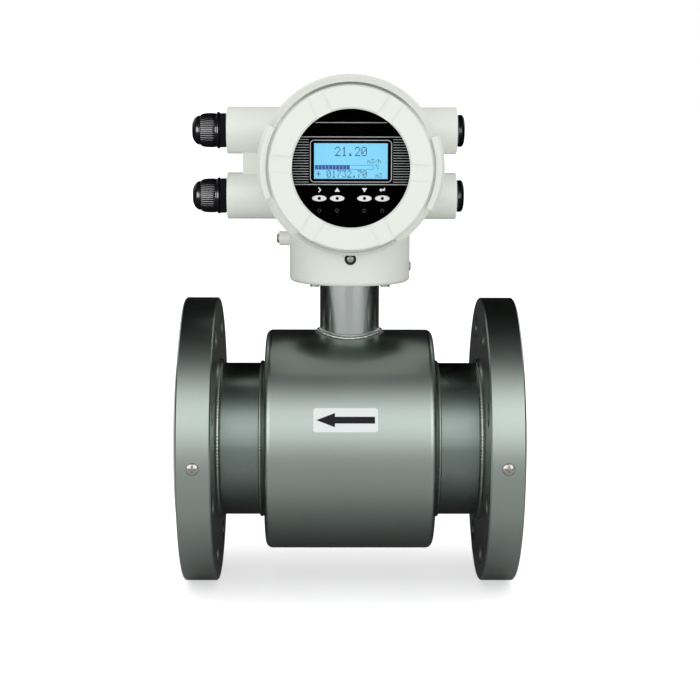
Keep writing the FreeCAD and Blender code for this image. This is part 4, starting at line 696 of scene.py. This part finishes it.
@dataclass
class ScrewHeads:
    """Rounded screw heads with a cross recess, and the screw that locks the cover.

    The cross is half its slots' width, their reach, the run of a side wall and that of an end wall,
    all as shares of the radius.
    """

    finishes: Finishes
    rings: int = 26
    spokes: int = 96
    tip: float = 0.012
    fall: float = 0.9
    cross: Quad = (0.15, 0.62, 0.06, 0.10)
    # Points round the black ring painted as the shadow in the lock screw's counterbore.
    shade_ring_steps: int = 48
    rim_radius: float = 4.6 * MM
    rim_inset: float = 4.5 * MM
    rim_height: float = 3.0 * MM
    rim_foot: float = 1.5 * MM
    lock_radius: float = 2.4 * MM
    lock_height: float = 1.0 * MM
    lock_setback: float = 0.9 * MM
    # Radii, setback and depth of that painted-shadow ring.
    shade_ring_outer: float = 4.35 * MM
    shade_ring_inner: float = 2.1 * MM
    shade_ring_setback: float = 0.7 * MM
    shade_ring_depth: float = 1.2 * MM

    def dome(self, centre: Vector, radius: float, height: float, foot: float, first: int) -> Shape:
        """A head that faces the reader: a dome over a straight side, with a sunk cross.

        The front at the distance r from its axis stands height * root(1 - (fall * r / radius)^2)
        proud,
        less half the height inside the two crossed slots.

        Args:
            centre: middle of the head's seat.
            radius: its outside.
            height: how far it stands proud.
            foot: how deep it is set in.
            first: number of its first vertex.

        Returns:
            The vertices and the faces.
        """
        turn = np.linspace(0, 2 * math.pi, self.spokes, endpoint=False)[None, :]
        part = np.linspace(1, self.tip, self.rings)[:, None]
        x, z = radius * part * np.cos(turn), radius * part * np.sin(turn)
        proud = height * np.sqrt(1 - (self.fall * part) ** 2) + 0 * turn
        arm, reach, wall, end = (share * radius for share in self.cross)
        bars = [np.clip((arm - np.abs(a)) / wall, 0, 1) * np.clip((reach - np.abs(b)) / end, 0, 1)
                for a, b in ((x, z), (z, x))]
        proud -= height / 2 * np.maximum(*bars)
        x, z = (np.concatenate([rows[:1], rows]) for rows in (x, z))
        out = np.concatenate([np.full((1, self.spokes), -foot), proud])
        points = np.stack([centre.x + x, centre.y - out, centre.z + z], axis=2).reshape(-1, 3)
        last = self.rings * self.spokes
        faces = quad_rows(self.rings + 1, self.spokes, False, True).tolist()
        faces += [list(range(self.spokes))[::-1], list(range(last, last + self.spokes))]
        return points, [[first + corner for corner in face] for face in faces]

    def flange_screws(self) -> None:
        """The two pan heads on the flanges' rims."""
        low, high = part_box("flange_earth_screws")
        rim = -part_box("inlet_flange")[1].z
        points: list[np.ndarray] = []
        faces: list[list[int]] = []
        for x in (low.x + self.rim_inset, high.x - self.rim_inset):
            spots, rows = self.dome(Vector((x, rim, (low.z + high.z) / 2)), self.rim_radius,
                                    self.rim_height, self.rim_foot, sum(map(len, points)))
            points.append(spots)
            faces += rows
        heads = make_piece("flange_pan_heads", (np.concatenate(points), faces), "meter",
                           self.finishes["bright_steel"])
        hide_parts("flange_earth_screws")

    def lock_screw(self) -> None:
        """The screw that locks the cover: a dark ring in its seat that is a painted shadow of the
        counterbore, and a small bright head.
        """
        low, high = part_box("cover_lock_screw")
        middle = (low.z + high.z) / 2
        turn = np.linspace(0, 2 * math.pi, self.shade_ring_steps, endpoint=False)
        outer, inner = (circle(radius, (0.0, middle), turn)
                        for radius in (self.shade_ring_outer, self.shade_ring_inner))
        # Painted shadow: a black ring where the counterbore round the lock screw lies in shade.
        shade_ring = ring_between(outer, inner, low.y + self.shade_ring_setback, self.shade_ring_depth)
        make_piece("lock_screw_collar", shade_ring, "meter", self.finishes["rubber"], smooth=False)
        dome = self.dome(Vector((0.0, low.y + self.lock_setback, middle)), self.lock_radius,
                         self.lock_height, self.lock_height, 0)
        head = make_piece("lock_screw_head", dome, "meter",
                          self.finishes["bright_steel"])
        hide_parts("cover_lock_screw")

    def build(self) -> None:
        """Builds the heads of the flange screws and of the lock screw."""
        self.flange_screws()
        self.lock_screw()


# ---- display ----


# Seven rows of each character that is shown, from the top down; a row's five cells are the bits.
CHARACTERS: dict[str, tuple[int, ...]] = {
    "0": (14, 17, 19, 21, 25, 17, 14), "1": (4, 12, 4, 4, 4, 4, 14), "2": (14, 17, 1, 2, 4, 8, 31),
    "3": (31, 2, 4, 2, 1, 17, 14), "7": (31, 1, 2, 4, 8, 8, 8), ".": (0, 0, 0, 0, 0, 12, 12),
    "m": (0, 0, 26, 21, 21, 17, 17), "h": (16, 16, 22, 25, 17, 17, 17), "/": (0, 1, 2, 4, 8, 16, 0),
    " ": (0, 0, 0, 0, 0, 0, 0), "+": (0, 4, 4, 31, 4, 4, 0), "%": (24, 25, 2, 4, 8, 19, 3),
}


@dataclass
class DisplayFace:
    """What is printed on the round panel and shown on its display.

    A long line is its height over the display's middle, its half length and its width, all in mm; a
    half length of 0 stands for the whole width of the window. Each sign is an outline in mm.
    """

    finishes: Finishes
    ink: float = 0.06 * MM
    letter_pitch: int = 6
    cell_fill: float = 0.92
    window: float = 43.2 * MM
    frame_height: float = 0.4 * MM
    screen_margin: float = 3.2 * MM
    long_lines: tuple[Triple, ...] = ((27.7, 26.0, 0.5), (17.4, 0, 0.6), (-16.9, 0, 0.6))
    stripe: float = 0.42 * MM
    stripe_count: int = 17
    stripe_top: float = 15.5 * MM
    stripe_bottom: float = -15.1 * MM
    stripe_end: float = 30.6 * MM
    frame_size: Triple = (59.4 * MM, 30.6 * MM, 3.0 * MM)
    frame_line: float = 0.6 * MM
    bar_left: float = -26.0 * MM
    bar_full: float = -0.6 * MM
    bar_end: float = 16.0 * MM
    bar_low: float = 6.9 * MM
    bar_high: float = 9.7 * MM
    bar_blocks: int = 10
    hairline: float = 0.25 * MM
    sign_rise: float = 6.1 * MM
    mark_drop: float = 8.9 * MM
    mark_outer: float = 1.3 * MM
    mark_inner: float = 1.0 * MM
    key_dot: float = 1.15 * MM
    mark_steps: int = 32
    signs: tuple[tuple[str, tuple[Pair, ...]], ...] = (
        ("key_next", ((-0.9, 1.7), (0.1, 1.7), (1.4, 0), (0.1, -1.7), (-0.9, -1.7), (0.3, 0))),
        ("key_up", ((-1.9, -1.3), (1.9, -1.3), (0, 1.7))),
        ("key_down", ((-1.9, 1.3), (0, -1.7), (1.9, 1.3))),
        ("key_enter", ((-2.3, 0.1), (-0.7, -1.4), (-0.7, -0.5), (1.9, -0.5), (1.9, 1.5), (1.1, 1.5),
                       (1.1, 0.5), (-0.7, 0.5), (-0.7, 1.4))))

    def __post_init__(self) -> None:
        """Reads where the panel, the display and the window are from the solids."""
        panel_low, panel_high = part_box("display_panel")
        screen_low, screen_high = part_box("lcd_module")
        self.frame_front = panel_low.y - self.ink
        self.panel_front = panel_low.y + self.frame_height - self.ink
        self.screen_front = screen_low.y - self.ink
        self.middle = (panel_low.z + panel_high.z) / 2
        self.display = (screen_low.z + screen_high.z) / 2
        self.screen_foot = screen_low.z + self.screen_margin

    def put(self, name: str, shape: Shape, finish: str, body: str = "meter") -> None:
        """Makes one printed piece from its vertices and faces."""
        make_piece(name, shape, body, self.finishes[finish], smooth=False)

    def chord(self, height: float) -> float:
        """Half the window's width at a height over the display: root(window^2 - rise^2)."""
        rise = height + self.display - self.middle
        return math.sqrt(max(self.window ** 2 - rise ** 2, 0.0))

    def lines(self) -> None:
        """Long lines above and below the display, and the short stripes beside its frame."""
        rows = []
        for height, half, width in self.long_lines:
            level, reach = height * MM, half * MM or self.chord(height * MM)
            rows.append((-reach, self.display + level - width * MM / 2,
                         reach, self.display + level + width * MM / 2))
        for level in np.linspace(self.stripe_top, self.stripe_bottom, self.stripe_count):
            reach = self.chord(level)
            for left, right in ((-reach, -self.stripe_end), (self.stripe_end, reach)):
                rows.append((left, self.display + level - self.stripe / 2,
                             right, self.display + level + self.stripe / 2))
        self.put("panel_lines", slabs(np.array(rows), self.panel_front, self.ink), "panel_line")

    def frame(self) -> None:
        """The grey line on the raised frame, between two rounded outlines."""
        width, height, radius = self.frame_size
        outer, inner = (rounded_outline(width - 2 * inset, height - 2 * inset, radius - inset,
                                        (0.0, self.display)) for inset in (0.0, self.frame_line))
        self.put("display_frame_line", ring_between(outer, inner, self.frame_front, self.ink), "panel_line")

    def text(self, words: str, left: float, bottom: float, dot: float, aspect: float) -> np.ndarray:
        """Dot-matrix characters: each is five by seven cells, and every set cell is a small square.

        Args:
            words: the characters.
            left: X of the first character.
            bottom: Z of the characters' foot.
            dot: width of a cell.
            aspect: a cell's height over its width.

        Returns:
            (n, 4) array of left, bottom, right and top edges.
        """
        rows = np.array([CHARACTERS[letter] for letter in words])
        lit = (rows[:, :, None] >> np.arange(4, -1, -1)[None, None]) & 1
        letter, row, column = np.nonzero(lit)
        x = left + (letter * self.letter_pitch + column) * dot
        z = bottom + (rows.shape[1] - 1 - row) * dot * aspect
        return np.stack([x, z, x + dot * self.cell_fill, z + dot * aspect * self.cell_fill], axis=1)

    def reading(self) -> None:
        """The big reading, its unit, the bar with its outline, and the running total.

        Each text is its words, its left edge, its foot, and the width and aspect of a cell, in mm; the
        foot is over the screen's foot, or over the display's middle for the first two.
        """
        texts = (("21.20", -11.6, self.display, 3.6, 0.80, 1.22),
                 ("m3/h", 12.0, self.display, -1.6, 0.42, 1.1),
                 ("%", 18.0, self.screen_foot, 7.1, 0.42, 1.1),
                 ("+ 01732.70", -25.0, self.screen_foot, 0.9, 0.62, 1.22),
                 ("m3", 18.0, self.screen_foot, 0.9, 0.42, 1.1))
        cells = [self.text(words, left * MM, base + foot * MM, dot * MM, aspect)
                 for words, left, base, foot, dot, aspect in texts]
        self.put("lcd_reading", slabs(np.concatenate(cells), self.screen_front, self.ink), "lcd_ink")
        low, high, thin = self.screen_foot + self.bar_low, self.screen_foot + self.bar_high, self.hairline
        edges = np.linspace(self.bar_left, self.bar_full, self.bar_blocks + 1)
        blocks = np.stack([edges[:-1], np.full(self.bar_blocks, low), edges[1:] - thin,
                           np.full(self.bar_blocks, high)], axis=1)
        self.put("lcd_bar", slabs(blocks, self.screen_front, self.ink), "lcd_bar")
        outline = np.array([(self.bar_left, high, self.bar_end, high + thin),
                            (self.bar_left, low - thin, self.bar_end, low),
                            (self.bar_end, low - thin, self.bar_end + thin, high + thin)])
        self.put("lcd_bar_outline", slabs(outline, self.screen_front, self.ink), "lcd_ink")

    def symbols(self) -> None:
        """The signs above the keys, a faint ring below each key and a dark dot on it."""
        turn = np.linspace(0, 2 * math.pi, self.mark_steps, endpoint=False)
        for key, shape in self.signs:
            low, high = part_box(key)
            x, z = (low.x + high.x) / 2, (low.z + high.z) / 2
            sign = np.array(shape) * MM + (x, z + self.sign_rise)
            self.put(f"{key}_sign", plate(sign, self.panel_front, self.ink), "panel_white")
            outer, inner = (circle(radius, (x, z - self.mark_drop), turn)
                            for radius in (self.mark_outer, self.mark_inner))
            self.put(f"{key}_mark", ring_between(outer, inner, self.panel_front, self.ink), "panel_faint")
            self.put(f"{key}_dot", plate(circle(self.key_dot, (x, z), turn), low.y - self.ink, self.ink),
                     "panel", key)

    def build(self) -> None:
        """Builds every print of the display face."""
        self.lines()
        self.frame()
        self.reading()
        self.symbols()


# ---- studio ----


class Ray(Enum):
    """Kinds of ray that a stage piece may be hidden from."""

    CAMERA = "visible_camera"
    DIFFUSE = "visible_diffuse"
    TRANSMISSION = "visible_transmission"
    SHADOW = "visible_shadow"


@dataclass
class Studio:
    """Pale floor, white surroundings, soft lamps, a light tent for the reflections and the camera."""

    eye: Triple = (-0.0143, -1.3101, 0.2725)
    aim: Triple = (0.0005, 0.0, 0.0697)
    lens: float = 87.90
    roll: float = 0.18
    sensor: float = 36.0
    lamp_aim: Triple = (0.0, 0.0, 0.08)
    lamps: tuple[tuple[str, Triple, Pair, float], ...] = (
        ("front_softbox", (0.0, -1.7, 0.28), (2.4, 0.8), 5.5),
        ("top_softbox", (0.0, 0.15, 1.7), (1.2, 0.8), 1.5),
    )
    fittings_lamp: tuple[Triple, Pair, float] = ((-0.85, -1.25, 0.30), (2.2, 1.0), 720.0)
    fittings_way: Triple = (0.5, 1.0, 0.0)
    world_light: float = 0.88
    floor_reach: float = 30.0
    floor_glow: float = 0.55
    floor_tone: float = 0.86
    # Y range and colours of the painted shade that reflections see on the floor under and behind the meter.
    floor_reflected_shade: Quad = (-0.17, 0.07, 0.64, 0.05)
    tent_radius: float = 2.2
    tent_strength: float = 2.6
    tent_turns: int = 145
    tent_rises: int = 70
    tent_foot: float = -2.8
    tent_top: float = 89.0
    tent_rise: tuple[Pair, ...] = (
        (-3, 0.46), (4, 0.62), (12, 0.84), (24, 1.0), (36, 1.0), (44, 0.84), (54, 0.50), (65, 0.22),
        (75, 0.09), (85, 0.04), (100, 0.01), (113, 0.0), (180, 0.0))
    tent_side: tuple[Pair, ...] = (
        (-90, 0.0), (-82, 0.08), (-72, 0.55), (-60, 0.95), (-24, 1.0), (-13, 0.62), (8, 0.62),
        (20, 1.0), (42, 0.98), (52, 0.55), (64, 0.08), (76, 0.0), (90, 0.0))
    rear_turn: tuple[Pair, ...] = ((108, 0.0), (120, 0.6), (138, 0.6), (150, 0.0))
    rear_rise: tuple[Pair, ...] = ((10, 0.0), (18, 1.0), (34, 1.0), (48, 0.0))

    def camera(self) -> None:
        """Sets the camera and aims it."""
        data = bpy.data.cameras.new("camera")
        data.lens, data.sensor_width, data.clip_start, data.clip_end = self.lens, self.sensor, 0.05, 100.0
        camera = bpy.data.objects.new("camera", data)
        camera.location = self.eye
        looking = (Vector(self.aim) - Vector(self.eye)).to_track_quat("-Z", "Y")
        rolled = looking @ Quaternion((0.0, 0.0, 1.0), math.radians(self.roll))
        camera.rotation_euler = rolled.to_euler()
        bpy.context.scene.collection.objects.link(camera)
        bpy.context.scene.camera = camera

    def lamp(self, name: str, place: Triple, size: Pair, power: float, way: Vector) -> bpy.types.Object:
        """A soft rectangular lamp.

        Args:
            name: the lamp's name.
            place: where it hangs.
            size: its width and height.
            power: its power in watts.
            way: where it shines.

        Returns:
            The lamp.
        """
        data = bpy.data.lights.new(name, "AREA")
        data.shape, data.size, data.size_y, data.energy = "RECTANGLE", size[0], size[1], power
        lamp = bpy.data.objects.new(name, data)
        lamp.location = place
        lamp.rotation_euler = way.to_track_quat("-Z", "Y").to_euler()
        bpy.context.scene.collection.objects.link(lamp)
        return lamp

    def fittings(self) -> None:
        """A low lamp in front that only the black glands and plugs catch, for their streaks of light."""
        lamp = self.lamp("fittings_softbox", *self.fittings_lamp, Vector(self.fittings_way))
        lit = bpy.data.collections.new("black_fittings")
        for thing in bpy.context.scene.objects:
            if any(word in thing.name for word in ("gland", "plug")):
                lit.objects.link(thing)
        lamp.light_linking.receiver_collection = lit

    def surroundings(self) -> None:
        """White world for what is seen directly and in reflections, softer for the light it gives."""
        world = bpy.data.worlds.new("surroundings")
        bpy.context.scene.world = world
        world.use_nodes = True
        bench = Bench(world.node_tree)
        seen = bench.either_ray("Camera", "Transmission")
        bench.fill(world.node_tree.nodes["Background"], {
            "Color": (1.0, 1.0, 1.0, 1.0),
            "Strength": bench.spread(seen, 0.0, 1.0, self.world_light, 1.0)})

    def set_up(self, name: str, mesh: bpy.types.Mesh, material: bpy.types.Material) -> bpy.types.Object:
        """Sets up a piece of the stage.

        Args:
            name: its name.
            mesh: its shape.
            material: its material.

        Returns:
            The new object.
        """
        mesh.materials.append(material)
        piece = bpy.data.objects.new(name, mesh)
        bpy.context.scene.collection.objects.link(piece)
        return piece

    def floor(self) -> None:
        """A wide pale floor under the flanges that keeps the meter's shadow.

        Reflections see its colour fade with Y, darker towards and behind the meter, a painted shade under
        the meter; what is seen directly also has a share of white glow.
        """
        level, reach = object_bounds()[0][2], self.floor_reach
        mesh = bpy.data.meshes.new("floor")
        corners = [(x * reach, y * reach, level) for x, y in ((-1, -1), (1, -1), (1, 1), (-1, 1))]
        mesh.from_pydata(corners, [], [(0, 1, 2, 3)])
        material, bench, shader = new_material("floor_finish")
        path = bench.add("ShaderNodeLightPath")
        place = bench.add("ShaderNodeSeparateXYZ", {0: bench.add("ShaderNodeTexCoord").outputs["Object"]})
        # Painted shade: reflections see the floor darken with Y towards and behind the meter; the mix below
        # gives it to glossy rays only.
        reflected_shade = bench.spread(place.outputs["Y"], *self.floor_reflected_shade)
        tone = bench.add("ShaderNodeMix", {0: path.outputs["Is Glossy Ray"], 2: self.floor_tone, 3: reflected_shade})
        seen = bench.either_ray("Camera", "Transmission")
        bench.fill(shader, {
            "Roughness": 0.9, "Specular IOR Level": 0.0, "Base Color": tone.outputs[0],
            "Emission Color": (1.0, 1.0, 1.0, 1.0),
            "Emission Strength": bench.math("MULTIPLY", seen, self.floor_glow)})
        floor = self.set_up("floor", mesh, material)
        floor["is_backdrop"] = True

    def tent(self) -> None:
        """Soft light tent, seen only in reflections: bright in front, dark behind and at the sides.

        Its points are radius times (cos e sin a, -cos e cos a, sin e), a the turn from the front and
        e the elevation. A direction's brightness is the product of two curves: one over the angle
        rolled from the front over the top to the back, one over the angle to the left or right. Two
        bright panels behind, one on each side, are the product of a curve over |a| and one over e.
        """
        around = np.radians(np.linspace(-180, 180, self.tent_turns))[None, :]
        up = np.radians(np.linspace(self.tent_foot, self.tent_top, self.tent_rises))[:, None]
        ways = np.stack([np.cos(up) * np.sin(around), -np.cos(up) * np.cos(around),
                         np.sin(up) + 0 * around], axis=2).reshape(-1, 3)
        rolled = np.degrees(np.arctan2(ways[:, 2], -ways[:, 1]))
        aside = np.degrees(np.arcsin(np.clip(ways[:, 0], -1, 1)))
        rolled = np.where(rolled < -90, 180.0, rolled)
        glow = np.interp(rolled, *np.array(self.tent_rise, float).T)
        glow *= np.interp(aside, *np.array(self.tent_side, float).T)
        rear = np.interp(np.degrees(np.abs(around)) + 0 * up, *np.array(self.rear_turn, float).T)
        rear *= np.interp(np.degrees(up) + 0 * around, *np.array(self.rear_rise, float).T)
        glow += rear.reshape(-1)
        mesh = bpy.data.meshes.new("light_tent")
        faces = quad_rows(self.tent_rises, self.tent_turns, False, False).tolist()
        mesh.from_pydata(self.tent_radius * ways, [], faces)
        mesh.attributes.new("glow", "FLOAT", "POINT").data.foreach_set("value", glow.astype(np.float32))
        material, bench, shader = new_material("light_tent_finish")
        told = bench.add("ShaderNodeAttribute", attribute_name="glow").outputs["Fac"]
        bench.fill(shader, {
            "Base Color": (0.0, 0.0, 0.0, 1.0), "Specular IOR Level": 0.0,
            "Emission Color": (1.0, 1.0, 1.0, 1.0),
            "Emission Strength": bench.math("MULTIPLY", told, self.tent_strength)})
        tent = self.set_up("light_tent", mesh, material)
        for ray in Ray:
            setattr(tent, ray.value, False)
        tent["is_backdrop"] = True

    def build(self) -> None:
        """Sets the view transform and builds the whole studio."""
        bpy.context.scene.view_settings.view_transform = "Standard"
        self.camera()
        self.surroundings()
        self.floor()
        self.tent()
        for name, place, size, power in self.lamps:
            lamp = self.lamp(name, place, size, power, Vector(self.lamp_aim) - Vector(place))
            lamp.visible_glossy = False
        self.fittings()


def main() -> None:
    """Loads the frame, dresses it, adds the pieces and sets the studio."""
    logging.basicConfig(level=logging.INFO, format="%(name)s: %(message)s")
    for leftover in list(bpy.data.objects):
        bpy.data.objects.remove(leftover)
    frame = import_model()
    finishes = Finishes()
    finishes.dress(frame["nodes"])
    Welds(finishes).build()
    GlandNuts(finishes).build()
    CoverGroove(finishes).build()
    ScrewHeads(finishes).build()
    DisplayFace(finishes).build()
    Studio().build()


if __name__ == "__main__":
    main()
